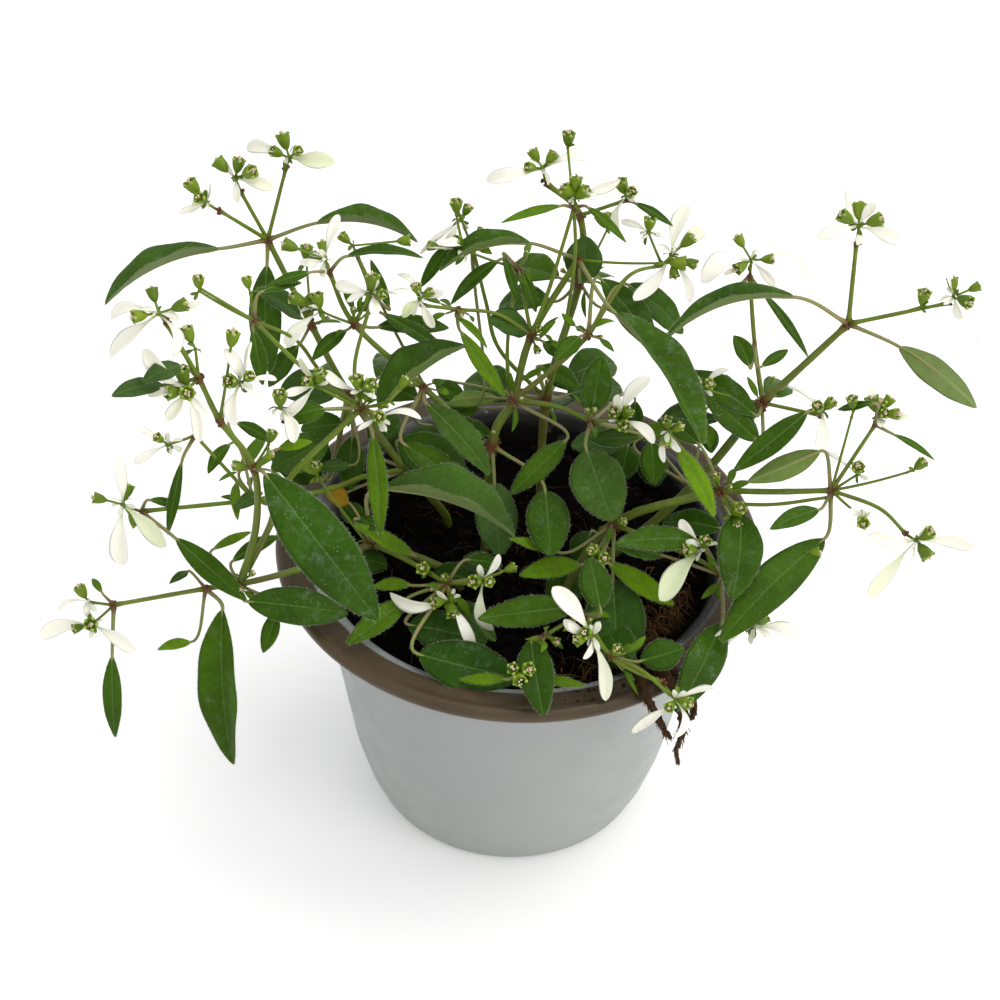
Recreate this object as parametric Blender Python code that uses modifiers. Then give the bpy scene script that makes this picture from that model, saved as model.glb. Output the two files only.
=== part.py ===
"""Potted euphorbia: a bushy plant of thin forking stems, oval leaves and small white-bracted flower
heads, growing in a 13 cm plastic pot. Tables are in millimetres, in the part's own frame: the origin
is the centre of the pot's underside, +Z is up and the side of the pot that shows most leaves is -Y."""

import math

import bmesh
import bpy
import numpy as np
from mathutils import Matrix

MM = 0.001  # one millimetre in metres

# ---- driving dimensions, mm ----
POT_HEIGHT = 89.0
RIM_RADIUS = 65.0
RIM_INNER_RADIUS = 57.0  # where the painted band ends and the bare ledge starts
MOUTH_RADIUS = 54.0
BASE_RADIUS = 40.5
WALL = 1.6
FLOOR = 2.4
BEAD_HEIGHT = 3.8
BEAD_TURNS = (110, 70, 35, 0, -35, -70, -110)  # degrees round the bead's section
COLLAR_Z = 76.0  # the small step under the rim
SIDE = ((46.0, 20), (49.0, 42), (51.8, 62))  # outer radius and height up the tapered side
POT_STEPS = 40

SOIL_Z = 79.0
GAP = 0.35  # clearance between pieces that touch
SOIL_CROWN = 2.4  # how much higher the soil stands in the middle
SOIL_BUMP = 0.7
SOIL_RINGS = (8, 18, 28, 38, 46)  # radii of the rings of the soil's top
SOCKET_DEPTH = 8.0
SOCKET_RADIUS = 2.6

TUBE_RESOLUTION = 1  # eight sides on a stem
STEPS_PER_SPAN = 2  # samples of a stem's route between two joints

LEAF_THICKNESS = 0.8
LEAF_LEAST_HALF = 0.25  # half the width where a blade narrows to its ends
PETIOLE_RADIUS = 0.5
FACE = (0.0, -0.45, 0.9)  # the light that most leaves turn their upper face to
BLADE_STATIONS = (0.06, 0.22, 0.42, 0.62, 0.82, 0.97)

HUB_RADIUS = 1.6
STALK_RADIUS = 0.5
CUP_LENGTH = 3.6
CUP_RADII = (0.45, 0.5, 1.5, 1.2)  # stalk, foot of the cup, belly and mouth
BRACT_THICKNESS = 0.6
BRACT_WIDTH = 0.3  # as a part of its length
BRACT_ARCH = 0.8
BRACT_FOLD = 15  # degrees
BRACT_FULLNESS = 0.4
SMOOTH_ANGLE = math.radians(50)

# ---- joints of the stems, mm ----
JOINTS = {
    "centre_foot": (-9, 2, 71.5),
    "centre_low": (-8, 5, 115),
    "centre_mid": (-3, 10, 126),
    "centre_high": (1, 18, 141),
    "centre_top": (12, 28, 158),
    "top_mid": (10, 25, 175),
    "top_small": (-3, 29, 154),
    "arm": (-18, 14, 151),
    "arm_tip": (-26, 8, 156),
    "fork": (15, 12, 146),
    "fork_flower": (33, 24, 160),
    "mid_right": (17, 4, 125),
    "nook_low": (-26, 4, 134),
    "nook": (-43, 6, 151),
    "nook_high": (-49, 9, 164),
    "nook_back": (-43, 17, 164),
    "back_foot": (6, 22, 71.5),
    "back_low": (6, 24, 116),
    "back_mid": (13, 34, 147),
    "back_high": (12, 36, 166),
    "back_top": (3, 38, 174),
    "back_side": (23, 31, 174),
    "back_left": (-15, 34, 157),
    "left_foot": (-20, 12, 71.5),
    "left_bend": (-46, 14, 123),
    "left_mid": (-56, 22, 139),
    "left_high": (-67, 30, 159),
    "left_high_a": (-77, 22, 172),
    "left_high_b": (-73, 31, 172),
    "left_high_c": (-62, 35, 177),
    "low_foot": (-16, -12, 71.5),
    "low_first": (-38, -13, 95),
    "low_rim": (-56, -27, 98),
    "low_fork": (-70, -32, 97),
    "low_outer": (-78, -34, 97),
    "low_end": (-100, -40, 96),
    "side_bend": (-50, -11, 111),
    "side_fork": (-67, -18, 113),
    "side_high": (-81, -14, 130),
    "side_end": (-94, -25, 114),
    "front_knot": (-18, -30, 98),
    "near_low": (-63, -36, 139),
    "near_mid": (-70, -35, 152),
    "near_high": (-73, -38, 166),
    "near_top": (-78, -41, 183),
    "middle_low": (-57, -25, 126),
    "middle": (-40, -12, 139),
    "middle_left": (-66, -4, 158),
    "middle_flower": (-38, 1, 162),
    "right_foot": (13, -9, 71.5),
    "right_low": (25, -7, 89),
    "right_mid": (60, 4, 133),
    "right_back": (55, 22, 159),
    "right_high": (79, 10, 154),
    "right_high_a": (78, 14, 175),
    "right_high_b": (101, 6, 164),
    "right_arm": (73, -4, 136),
    "east_foot": (10, -22, 71.5),
    "east_low": (24, -13, 105),
    "east_mid": (50, -12, 117),
    "east_far": (77, -15, 121),
    "east_flower_a": (85, -12, 140),
    "east_flower_b": (94, -28, 119),
    "south_east": (51, -26, 101),
    "south_east_tip": (59, -38, 95),
    "south_mid": (16, -38, 97),
    "south_knot": (7, -46, 97),
    "south": (23, -52, 97),
    "south_tip": (35, -60, 97),
    "south_left": (2, -54, 94),
}

# ---- stems, mm: for each shoot its runs, as (radius at the start, radius at the end, route) ----
SHOOTS = {
    "shoot_centre": (
        (1.6, 0.9, ("centre_foot", "centre_low", "centre_mid", "centre_high", "centre_top")),
        (0.7, 0.5, ("centre_high", (5, 22, 153), "top_mid")),
        (0.6, 0.5, ("centre_high", (-8, 17, 148), "arm", "arm_tip")),
        (0.6, 0.5, ("centre_high", "top_small")),
        (0.9, 0.5, ("centre_mid", (7, 10, 137), "fork", (24, 19, 159), "fork_flower")),
        (0.8, 0.6, ("centre_mid", (8, 7, 127), "mid_right")),
    ),
    "shoot_back": (
        (1.4, 0.8, ("back_foot", "back_low", "back_mid", "back_high", "back_top")),
        (0.6, 0.5, ("back_high", "back_side")),
        (0.7, 0.5, ("back_low", (-7, 25, 131), (-11, 29, 143), "back_left")),
    ),
    "shoot_left_high": (
        (
            1.4,
            0.8,
            ("left_foot", (-20, 12, 83), (-31, 9, 102), "left_bend", "left_mid", "left_high"),
        ),
        (0.9, 0.6, ((-31, 9, 102), (-41, 1, 106), "side_bend", "side_fork", "side_end")),
        (0.6, 0.5, ("side_fork", "side_high")),
        (0.6, 0.5, ("left_high", "left_high_a")),
        (0.6, 0.5, ("left_high", "left_high_b")),
        (0.6, 0.5, ("left_high", "left_high_c")),
    ),
    "shoot_nook": (
        (1.0, 0.6, ((-12, 4, 118), "nook_low", "nook", "nook_high")),
        (0.6, 0.5, ("nook", (-40, 13, 156), "nook_back")),
    ),
    "shoot_left_low": (
        (1.5, 1.2, ("low_foot", (-16, -12, 82.5), (-26, -11.5, 89), "low_first")),
        (1.1, 0.6, ("low_first", "low_rim", "low_fork", "low_outer", "low_end")),
        (0.8, 0.6, ("low_first", (-27, -22, 97), "front_knot")),
    ),
    "shoot_near": (
        (
            1.1,
            0.6,
            ((-69, -32.5, 99.5), (-64, -34, 119), "near_low", "near_mid", "near_high", "near_top"),
        ),
    ),
    "shoot_middle": (
        (1.0, 0.8, ((-68, -30, 100), (-62, -28, 113), "middle_low", "middle")),
        (0.7, 0.5, ("middle", (-53, -9, 147), "middle_left")),
        (0.6, 0.5, ("middle", (-42, -5, 147), "middle_flower")),
        (0.5, 0.4, ("middle_left", (-77, -10, 171))),
    ),
    "shoot_right_high": (
        (1.7, 1.3, ("right_foot", (13, -9, 82.5), "right_low", (44, -2, 109), "right_mid")),
        (1.2, 0.9, ("right_mid", "right_high")),
        (0.7, 0.5, ("right_high", "right_high_b")),
        (0.7, 0.6, ("right_mid", (57, 12, 146), "right_back")),
        (0.7, 0.6, ("right_high", "right_high_a")),
        (0.6, 0.5, ("right_mid", "right_arm")),
    ),
    "shoot_east": (
        (1.6, 1.2, ("east_foot", (10.5, -21.5, 83), "east_low", "east_mid")),
        (1.0, 0.8, ("east_mid", (63, -14, 119), "east_far")),
        (0.6, 0.5, ("east_far", "east_flower_a")),
        (0.6, 0.5, ("east_far", (88, -21, 121), "east_flower_b")),
        (0.8, 0.6, ("east_low", (37, -20, 105), "south_east", "south_east_tip")),
    ),
    "shoot_south": (
        (0.9, 0.6, ((12, -25.5, 84), "south_mid", "south", "south_tip")),
        (0.6, 0.5, ("south_mid", "south_knot", "south_left")),
    ),
}

# ---- how far from the middle of a joint its leaves and flower heads start, mm ----
CLEARANCE = 1.2  # where the table below has no value
STEM_CLEARANCE = {
    "centre_low": 2.6,
    "centre_mid": 2.0,
    "centre_high": 1.8,
    "left_mid": 1.6,
    "left_high": 2.0,
    "fork": 1.9,
    "low_first": 2.0,
    "low_fork": 1.6,
    "low_outer": 1.6,
    "side_fork": 1.5,
    "right_mid": 2.2,
    "right_high": 2.2,
    "nook_low": 1.6,
    "south_mid": 1.9,
    "south_east": 1.6,
    "east_low": 2.1,
    "east_mid": 1.8,
    "east_far": 1.6,
}

# ---- leaves, mm and degrees ----
# name: (joint, base of the blade, tip, width, arch of the midrib, fold of each half, turn about the
# midrib, fullness: 0 narrow, 1 round)
LEAVES = {
    "leaf_left_high_out": ("left_high", (-78, 22, 161), (-104, 4, 155), 14, 3, 38, 42, 0.5),
    "leaf_left_high_down": ("left_high", (-67, 26, 154), (-66, 12, 130), 8.5, 2, 15, 0, 0.5),
    "leaf_left_high_in": ("left_high", (-54, 26, 167), (-28, 22, 165), 12, 3, 40, -40, 0.4),
    "leaf_left_mid": ("left_mid", (-58, 19, 143), (-68, 12, 156), 7, 1, 20, 0, 0.5),
    "leaf_side_low": ("side_end", (-85, -30, 110), (-67, -38, 97), 6, 2, 15, 0, 0.4),
    "leaf_low_end": ("low_end", (-101, -45, 83), (-101, -54, 62), 5, 1, 15, 0, 0.4),
    "leaf_low_hanging": ("low_outer", (-73, -40, 96), (-70, -60, 60), 14, 3, 30, 30, 0.5),
    "leaf_low_inner": ("low_fork", (-67, -38, 97), (-42, -36, 92), 10, 2, 10, 0, 0.6),
    "leaf_side_large": ("near_low", (-60, -39, 140), (-33, -53, 107), 14.5, 3, 10, 0, 0.5),
    "leaf_nook_high": ("nook_high", (-45, 10, 168), (-26, 12, 167), 5, 1.5, 30, -25, 0.3),
    "leaf_middle_down": ("middle", (-37, -16, 134), (-34, -34, 117), 5, 1, 15, 0, 0.4),
    "leaf_middle_right": ("middle", (-36, -9, 136), (-15, 10, 143), 18, 2, 50, -38, 0.5),
    "leaf_centre_low": ("nook_low", (-25, 1, 131), (-8, -11, 118), 9, 1, 25, -15, 0.4),
    "leaf_arm": ("arm", (-17, 13, 145), (-5, 6, 130), 4.4, 1, 15, 0, 0.4),
    "leaf_low_folded": ("low_first", (-34, -22, 122), (-1, -27, 112), 21, 3, 52, -38, 0.5),
    "leaf_centre_ovate": ("centre_low", (-7, -2, 108), (-5, -16, 95), 11, 1, 15, 0, 0.9),
    "leaf_centre_tan": ("centre_mid", (11, 3, 119), (-3, -10, 111), 6.5, 1, 15, 0, 0.4),
    "leaf_mid_right_round": ("mid_right", (16, -4, 122), (23, -20, 112), 14, 1, 8, 0, 0.9),
    "leaf_east_round": ("centre_low", (6, -10, 113), (8, -25, 104), 11, 1, 10, 0, 0.9),
    "leaf_east_bright": ("east_low", (22.5, -25.5, 103), (40, -29, 92.5), 5.8, 1, 15, 0, 0.4),
    "leaf_east_large": ("east_low", (24, -26, 98), (26, -44, 84), 15.5, 1, 8, 0, 0.9),
    "leaf_south_left": ("south_mid", (14, -40, 101.5), (-10, -43, 99), 8, 1, 12, 0, 0.5),
    "leaf_south_hanging": ("south_knot", (3.5, -47.5, 97), (7, -67, 91), 9, 2, 15, 0, 0.5),
    "leaf_south_broad": ("front_knot", (-24, -48, 91), (1, -52, 88), 13, 1, 10, 0, 0.6),
    "leaf_front_left": ("front_knot", (-28, -33, 95), (-42, -47, 92), 6.5, 1, 15, 0, 0.4),
    "leaf_top_folded": ("centre_top", (0, 30, 161), (-23, 20, 158), 11, 3, 50, 35, 0.4),
    "leaf_fork_large": ("centre_top", (21, 8, 156), (42, -27, 143), 16, 3, 42, -34, 0.5),
    "leaf_fork_back": ("fork", (25, 25, 153), (41, 27, 137), 9, 1, 15, 0, 0.5),
    "leaf_right_folded": ("right_high", (64, 6, 164), (33, 0, 154), 10, 4, 52, 35, 0.5),
    "leaf_right_out": ("right_high", (91, 4, 152), (111, -8, 143), 8, -2, 15, 180, 0.5),
    "leaf_right_mid": ("right_mid", (59, -4, 127), (44, 5, 136), 8, 1, 15, 0, 0.6),
    "leaf_right_arm": ("right_arm", (69, -8, 140), (51, -19, 129), 6.2, 1, 15, 0, 0.4),
    "leaf_east_far_down": ("east_far", (76, -22, 111), (49, -48, 99), 10.5, 2, 8, 0, 0.5),
    "leaf_east_mid_dark": ("east_mid", (55, -17, 114), (52, -41, 107), 11.5, 2, 12, 0, 0.7),
    "leaf_south_east": ("south_east", (51, -37, 95), (39, -63, 90), 9.5, 2, 12, 0, 0.5),
}

# ---- flower heads, mm: (joint, centre, tips of the white bracts, mouths of the cups) ----
# Bracts and cups are offsets from the centre of the head.
HEADS = {
    "flower_left_high_b": (
        "left_high_b",
        (-74, 31, 176),
        ((10, -3, -1), (1, -5, -4)),
        ((-5, 3, 3), (1, 1, 5), (5, -3, 4)),
    ),
    "flower_left_high_c": (
        "left_high_c",
        (-61, 35, 180),
        ((-11, 3, 1), (12, -5, 2)),
        ((-2, 3, 5), (-4, -2, 3), (3, -3, 4)),
    ),
    "flower_near_top": (
        "near_top",
        (-79, -42, 187),
        ((-11, 3, -5), (-10, -4, -8), (2, -8, -9), (8, 4, -2)),
        ((-2, 4, 4), (-3, -3, 2), (4, 1, 3)),
    ),
    "flower_side_end": (
        "side_end",
        (-98, -26, 117),
        ((-1, 4, 13), (0, -8, -13), (11, -6, -8)),
        ((-7, 0, 2), (1, 4, 3), (4, -4, -3)),
    ),
    "flower_low_end": (
        "low_end",
        (-106, -41, 90),
        ((-14, -2, -3), (12, -7, -2)),
        ((-4, -3, 1), (1, -4, 4)),
    ),
    "flower_back_top": (
        "back_top",
        (2, 38, 178),
        ((-14, -2, -3), (14, 4, 2)),
        ((-3, 2, 4), (3, 1, 4), (-4, -3, 2)),
    ),
    "flower_fork": (
        "fork_flower",
        (35, 24, 163),
        ((4, 8, 10), (8, 6, 4), (-9, -9, -8), (5, -9, -8)),
        ((5, 1, 5), (6, -4, 0), (1, -4, -4)),
    ),
    "flower_front": (
        "front_knot",
        (-17, -35, 97),
        ((-15, 1, 1), (6, -9, -8)),
        ((1, -4, -1), (-4, -3, 2)),
    ),
    "flower_right_high_a": (
        "right_high_a",
        (78, 15, 179),
        ((-9, -4, -1), (9, -4, -1), (2, 6, 2)),
        ((0, 4, 4), (-5, 0, 3), (5, -1, 3)),
    ),
    "flower_right_high_b": (
        "right_high_b",
        (104, 6, 166),
        ((-3, 8, 7), (7, -9, -8)),
        ((-2, 2, 4), (5, 3, 2), (3, -4, 2)),
    ),
    "flower_east_far": (
        "east_flower_b",
        (96, -30, 119),
        ((14, -2, 0), (-11, -9, -11), (-2, -8, -4)),
        ((3, -4, -2), (3, -1, 4)),
    ),
    "flower_south": (
        "south_tip",
        (38, -64, 96),
        ((-10, -6, -6), (0, -8, -6), (9, 1, 3)),
        ((3, -3, 2), (-2, -4, 1)),
    ),
}

# ---- the fibrous clump of peat that hangs over the rim, mm ----
# points of its route and the radius at each
TUFT = (
    ((32, -37, 84.5), 1.6),
    ((33, -41.5, 89.5), 1.8),
    ((34.5, -46, 91.6), 2.0),
    ((37, -53.5, 91.8), 2.2),
    ((39, -58, 87), 2.6),
    ((41, -58, 80), 2.4),
    ((41, -57, 72), 0.6),
)

# name: (colour, roughness, metallic)
FINISHES = {
    "pot_plastic": ((0.52, 0.54, 0.56), 0.45, 0.0),
    "peat": ((0.012, 0.009, 0.007), 0.95, 0.0),
    "coir": ((0.09, 0.045, 0.02), 0.9, 0.0),
    "stem_green": ((0.17, 0.25, 0.05), 0.5, 0.0),
    "leaf_green": ((0.03, 0.1, 0.015), 0.5, 0.0),
    "bract_white": ((0.85, 0.85, 0.76), 0.5, 0.0),
}


def material(name):
    """The Principled material of this name, made once."""
    found = bpy.data.materials.get(name)
    if found:
        return found
    colour, roughness, metallic = FINISHES[name]
    made = bpy.data.materials.new(name)
    made.use_nodes = True
    made.diffuse_color = (*colour, 1)
    shader = made.node_tree.nodes["Principled BSDF"]
    shader.inputs["Base Color"].default_value = (*colour, 1)
    shader.inputs["Roughness"].default_value = roughness
    shader.inputs["Metallic"].default_value = metallic
    return made


def add_object(name, mesh, finish, collection):
    mesh.materials.clear()
    mesh.materials.append(material(finish))
    mesh.shade_smooth()
    mesh.set_sharp_from_angle(angle=SMOOTH_ANGLE)
    obj = bpy.data.objects.new(name, mesh)
    collection.objects.link(obj)
    return obj


def unit(vector):
    return vector / np.linalg.norm(vector)


def place_of(point):
    """A joint's name or a point, as an array in mm."""
    return np.array(JOINTS[point] if isinstance(point, str) else point, float)


def smooth_route(points, per_span):
    """A Catmull-Rom curve through the points, with per_span samples on each span."""
    ends = [2 * points[0] - points[1], *points, 2 * points[-1] - points[-2]]
    steps = np.arange(per_span)[:, None] / per_span
    spans = []
    for before, start, end, after in zip(ends, ends[1:], ends[2:], ends[3:]):
        pull_in = (end - before) / 2
        pull_out = (after - start) / 2
        rise = 3 * (end - start) - 2 * pull_in - pull_out
        settle = 2 * (start - end) + pull_in + pull_out
        spans.append(start + pull_in * steps + rise * steps**2 + settle * steps**3)
    return np.concatenate([*spans, points[-1:]])


def loft(name, rings):
    """A closed mesh through rings of equally many points, with a flat cap on each end. Seen along the
    rings, each ring runs anticlockwise."""
    count = len(rings[0])
    shape = bmesh.new()
    rows = [[shape.verts.new(point * MM) for point in ring] for ring in rings]
    for low, high in zip(rows, rows[1:]):
        for i in range(count):
            j = (i + 1) % count
            shape.faces.new((low[i], low[j], high[j], high[i]))
    shape.faces.new(rows[0][::-1])
    shape.faces.new(rows[-1])
    bmesh.ops.recalc_face_normals(shape, faces=shape.faces)
    mesh = bpy.data.meshes.new(name)
    shape.to_mesh(mesh)
    shape.free()
    return mesh


def tube_mesh(name, route, radii):
    """A curve with a round bevel along the route, as a closed mesh."""
    curve = bpy.data.curves.new(name, "CURVE")
    curve.dimensions = "3D"
    curve.bevel_depth = MM
    curve.bevel_resolution = TUBE_RESOLUTION
    curve.use_fill_caps = True
    spline = curve.splines.new("POLY")
    spline.points.add(len(route) - 1)
    for point, place, radius in zip(spline.points, route, radii):
        point.co = (*(place * MM), 1)
        point.radius = radius
    drawn = bpy.data.objects.new(name, curve)
    bpy.context.scene.collection.objects.link(drawn)
    graph = bpy.context.evaluated_depsgraph_get()
    mesh = bpy.data.meshes.new_from_object(drawn.evaluated_get(graph))
    bpy.data.objects.remove(drawn)
    shape = bmesh.new()
    shape.from_mesh(mesh)
    bmesh.ops.remove_doubles(shape, verts=shape.verts, dist=0.01 * MM)
    bmesh.ops.recalc_face_normals(shape, faces=shape.faces)
    shape.to_mesh(mesh)
    shape.free()
    mesh.name = name
    return mesh


def unite(name, meshes, finish, parts, helpers):
    """The Boolean union of closed meshes that overlap, as one object."""
    body = add_object(name, meshes[0], finish, parts)
    if len(meshes) == 1:
        return body
    others = bpy.data.collections.new(f"{name}_pieces")
    helpers.children.link(others)
    for index, mesh in enumerate(meshes[1:]):
        helper = add_object(f"{name}_piece_{index + 1}", mesh, finish, others)
        helper.hide_render = True
        helper.display_type = "WIRE"
    join = body.modifiers.new("Join", "BOOLEAN")
    join.operation = "UNION"
    join.operand_type = "COLLECTION"
    join.collection = others
    join.solver = "EXACT"
    return body


def pot_profile():
    """Half the pot's section, from the inner floor up the inside, over the rim and down the outside."""
    bead = BEAD_HEIGHT / 2
    bead_z = POT_HEIGHT - bead
    inside = [(0, FLOOR), (BASE_RADIUS - WALL - 1, FLOOR)]
    inside += [(radius - WALL, height) for radius, height in SIDE]
    inside += [
        (MOUTH_RADIUS - 1.8, COLLAR_Z + 2),
        (MOUTH_RADIUS - 1.4, COLLAR_Z + 7),
        (MOUTH_RADIUS, POT_HEIGHT - 2.4),
        (RIM_INNER_RADIUS, POT_HEIGHT - 0.8),
    ]
    rolled = [
        (RIM_RADIUS - bead + bead * math.cos(turn), bead_z + bead * math.sin(turn))
        for turn in np.radians(BEAD_TURNS)
    ]
    collar = [
        (MOUTH_RADIUS + 1.4, POT_HEIGHT - 4.2),
        (MOUTH_RADIUS + 0.4, COLLAR_Z + 0.6),
        (MOUTH_RADIUS - 0.4, COLLAR_Z),
    ]
    foot = [(43.2, 8), (BASE_RADIUS + 0.6, 1.2), (BASE_RADIUS - 0.4, 0), (0, 0)]
    return inside + rolled + collar + list(SIDE[::-1]) + foot


def make_pot(parts):
    """The pot: its section turned about Z."""
    profile = pot_profile()
    mesh = bpy.data.meshes.new("pot")
    points = [(radius * MM, 0, height * MM) for radius, height in profile]
    mesh.from_pydata(points, [(i, i + 1) for i in range(len(points) - 1)], [])
    pot = add_object("pot", mesh, "pot_plastic", parts)
    turn = pot.modifiers.new("Turn", "SCREW")
    turn.steps = POT_STEPS
    turn.render_steps = POT_STEPS
    turn.use_merge_vertices = True
    turn.merge_threshold = 0.00001
    return pot


def inner_radius(height):
    """The pot's inner radius at a height."""
    inside = pot_profile()[1:7]
    return float(np.interp(height, [z for _, z in inside], [r for r, _ in inside]))


def make_soil(parts, helpers):
    """The potting soil: a plug that follows the pot's inside, with an uneven top and a socket for
    the foot of each shoot."""
    angles = np.linspace(0, 2 * math.pi, POT_STEPS, endpoint=False) + math.pi / POT_STEPS
    across = np.stack([np.cos(angles), np.sin(angles), 0 * angles], 1)

    def ring(radius, height, bumps):
        waves = np.sin(3 * angles + radius * 0.21) + 0.7 * np.sin(5 * angles - radius * 0.37)
        return across * radius + np.array((0, 0, height)) + np.outer(waves * bumps, (0, 0, 1))

    sides = (FLOOR + GAP, *(height for _, height in SIDE), SOIL_Z - 3)
    rings = [ring(inner_radius(height) - 2 * GAP, height, 0) for height in sides]
    top = []
    for radius in SOIL_RINGS[::-1]:
        inward = 1 - radius / SOIL_RINGS[-1]
        top.append(ring(radius, SOIL_Z - 1 + SOIL_CROWN * inward, SOIL_BUMP * (1 - inward)))
    soil = add_object("potting_soil", loft("potting_soil", rings + top), "peat", parts)
    for name, joint in JOINTS.items():
        if not name.endswith("_foot"):
            continue
        bpy.ops.mesh.primitive_cylinder_add(
            vertices=10,
            radius=SOCKET_RADIUS * MM,
            depth=4 * SOCKET_DEPTH * MM,
            location=(joint[0] * MM, joint[1] * MM, (joint[2] + 2 * SOCKET_DEPTH - GAP) * MM),
        )
        socket = bpy.context.object
        socket.name = name.replace("foot", "socket")
        for collection in socket.users_collection:
            collection.objects.unlink(socket)
        helpers.objects.link(socket)
        socket.hide_render = True
        socket.display_type = "WIRE"
        cut = soil.modifiers.new(socket.name, "BOOLEAN")
        cut.operation = "DIFFERENCE"
        cut.object = socket
        cut.solver = "EXACT"
    return soil


def make_tuft(parts):
    """The clump of peat and coir on the rim, as one tapered lump."""
    route = [np.array(point, float) for point, _ in TUFT]
    radii = [radius for _, radius in TUFT]
    return add_object("peat_tuft", tube_mesh("peat_tuft", route, radii), "coir", parts)


def make_shoot(name, runs, parts, helpers):
    """One shoot: a tapered tube along each of its runs, united into one body."""
    meshes = []
    for index, (start, end, points) in enumerate(runs):
        route = smooth_route(np.array([place_of(point) for point in points]), STEPS_PER_SPAN)
        radii = np.linspace(start, end, len(route))
        meshes.append(tube_mesh(f"{name}_run_{index}", route, radii))
    return unite(name, meshes, "stem_green", parts, helpers)


def leaf_frame(base, tip, turn):
    """The unit vectors along the midrib, out of the upper face and across the blade."""
    along = unit(tip - base)
    face = np.array(FACE)
    face = unit(face - face.dot(along) * along)
    across = np.cross(along, face)
    angle = math.radians(turn)
    face = face * math.cos(angle) + across * math.sin(angle)
    return along, face, np.cross(along, face)


def blade_width(station, fullness):
    """Half the blade's width at a station from 0 at the base to 1 at the tip, as a part of its most.
    A fuller blade is wider towards both ends."""
    power = 0.95 - 0.4 * fullness
    return np.sin(np.pi * station**0.92) ** power


def blade_rings(base, tip, width, arch, fold, turn, fullness, thickness):
    """Rings of four points: left edge, upper midrib, right edge and lower midrib."""
    along, face, across = leaf_frame(base, tip, turn)
    lift = math.radians(fold)
    rings = []
    for station in BLADE_STATIONS:
        middle = base + (tip - base) * station + face * arch * 4 * station * (1 - station)
        half = max(width / 2 * blade_width(station, fullness), LEAF_LEAST_HALF)
        out = across * half * math.cos(lift)
        up = face * half * math.sin(lift)
        skin = face * thickness / 2
        rings.append((middle - out + up, middle + skin, middle + out + up, middle - skin))
    return rings


def make_leaf(name, row, parts):
    """A leaf: its petiole and its blade as one loft, which starts just off the stem."""
    joint, base, tip, width, arch, fold, turn, fullness = row
    root, base, tip = place_of(joint), place_of(base), place_of(tip)
    stalk = unit(base - root)
    start = root + stalk * (STEM_CLEARANCE.get(joint, CLEARANCE) + GAP)
    _, face, across = leaf_frame(start, base, turn)
    square = np.array([-across, face, across, -face]) * PETIOLE_RADIUS
    rings = [start + square, base - stalk * 0.8 + square]
    rings += blade_rings(base, tip, width, arch, fold, turn, fullness, LEAF_THICKNESS)
    return add_object(name, loft(name, rings), "leaf_green", parts)


def cup_mesh(name, centre, mouth):
    """A flower's green cup on its stalk: a tube that swells and ends in a flat mouth."""
    reach = np.linalg.norm(mouth)
    route = [centre + mouth * part for part in (0, max(1 - CUP_LENGTH / reach, 0.2), 0.75, 1)]
    return tube_mesh(name, route, CUP_RADII)


def bract_mesh(name, centre, reach):
    """A white bract: a thin spoon-shaped loft, which starts inside the head's hub."""
    shape = (BRACT_WIDTH * np.linalg.norm(reach), BRACT_ARCH, BRACT_FOLD, 0, BRACT_FULLNESS)
    return loft(name, blade_rings(centre, centre + reach, *shape, BRACT_THICKNESS))


def hub_mesh(name, centre):
    """The small round knot in the middle of a head."""
    shape = bmesh.new()
    place = Matrix.Translation(centre * MM)
    bmesh.ops.create_icosphere(shape, subdivisions=1, radius=HUB_RADIUS * MM, matrix=place)
    mesh = bpy.data.meshes.new(name)
    shape.to_mesh(mesh)
    shape.free()
    return mesh


def make_head(name, row, parts, helpers):
    """A flower head: a round hub on a short stalk, with its bracts and cups."""
    joint, centre, bracts, cups = row
    root, centre = place_of(joint), place_of(centre)
    start = root + unit(centre - root) * (STEM_CLEARANCE.get(joint, CLEARANCE) + GAP)
    stalk = tube_mesh(f"{name}_stalk", [start, centre], (STALK_RADIUS, STALK_RADIUS))
    meshes = [hub_mesh(f"{name}_hub", centre), stalk]
    for index, reach in enumerate(bracts):
        meshes.append(bract_mesh(f"{name}_bract_{index + 1}", centre, np.array(reach, float)))
    for index, mouth in enumerate(cups):
        meshes.append(cup_mesh(f"{name}_cup_{index + 1}", centre, np.array(mouth, float)))
    return unite(name, meshes, "bract_white", parts, helpers)


def main():
    for obj in list(bpy.data.objects):
        bpy.data.objects.remove(obj)
    parts = bpy.data.collections.new("potted_euphorbia")
    helpers = bpy.data.collections.new("cutters")
    helpers.hide_render = True
    for collection in (parts, helpers):
        bpy.context.scene.collection.children.link(collection)
    make_pot(parts)
    make_soil(parts, helpers)
    make_tuft(parts)
    for name, runs in SHOOTS.items():
        make_shoot(name, runs, parts, helpers)
    for name, row in LEAVES.items():
        make_leaf(name, row, parts)
    for name, row in HEADS.items():
        make_head(name, row, parts, helpers)


main()
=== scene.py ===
"""Finished look of the potted euphorbia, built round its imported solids. Tables are in millimetres, in
the part's own frame: the origin is the centre of the pot's underside, +Z is up and the side that shows
most leaves is -Y. Each new piece is made of grids of points worked out as whole arrays."""

import math
import zlib
from types import SimpleNamespace

import bpy
import numpy as np
from mathutils import Matrix, Vector


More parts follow.
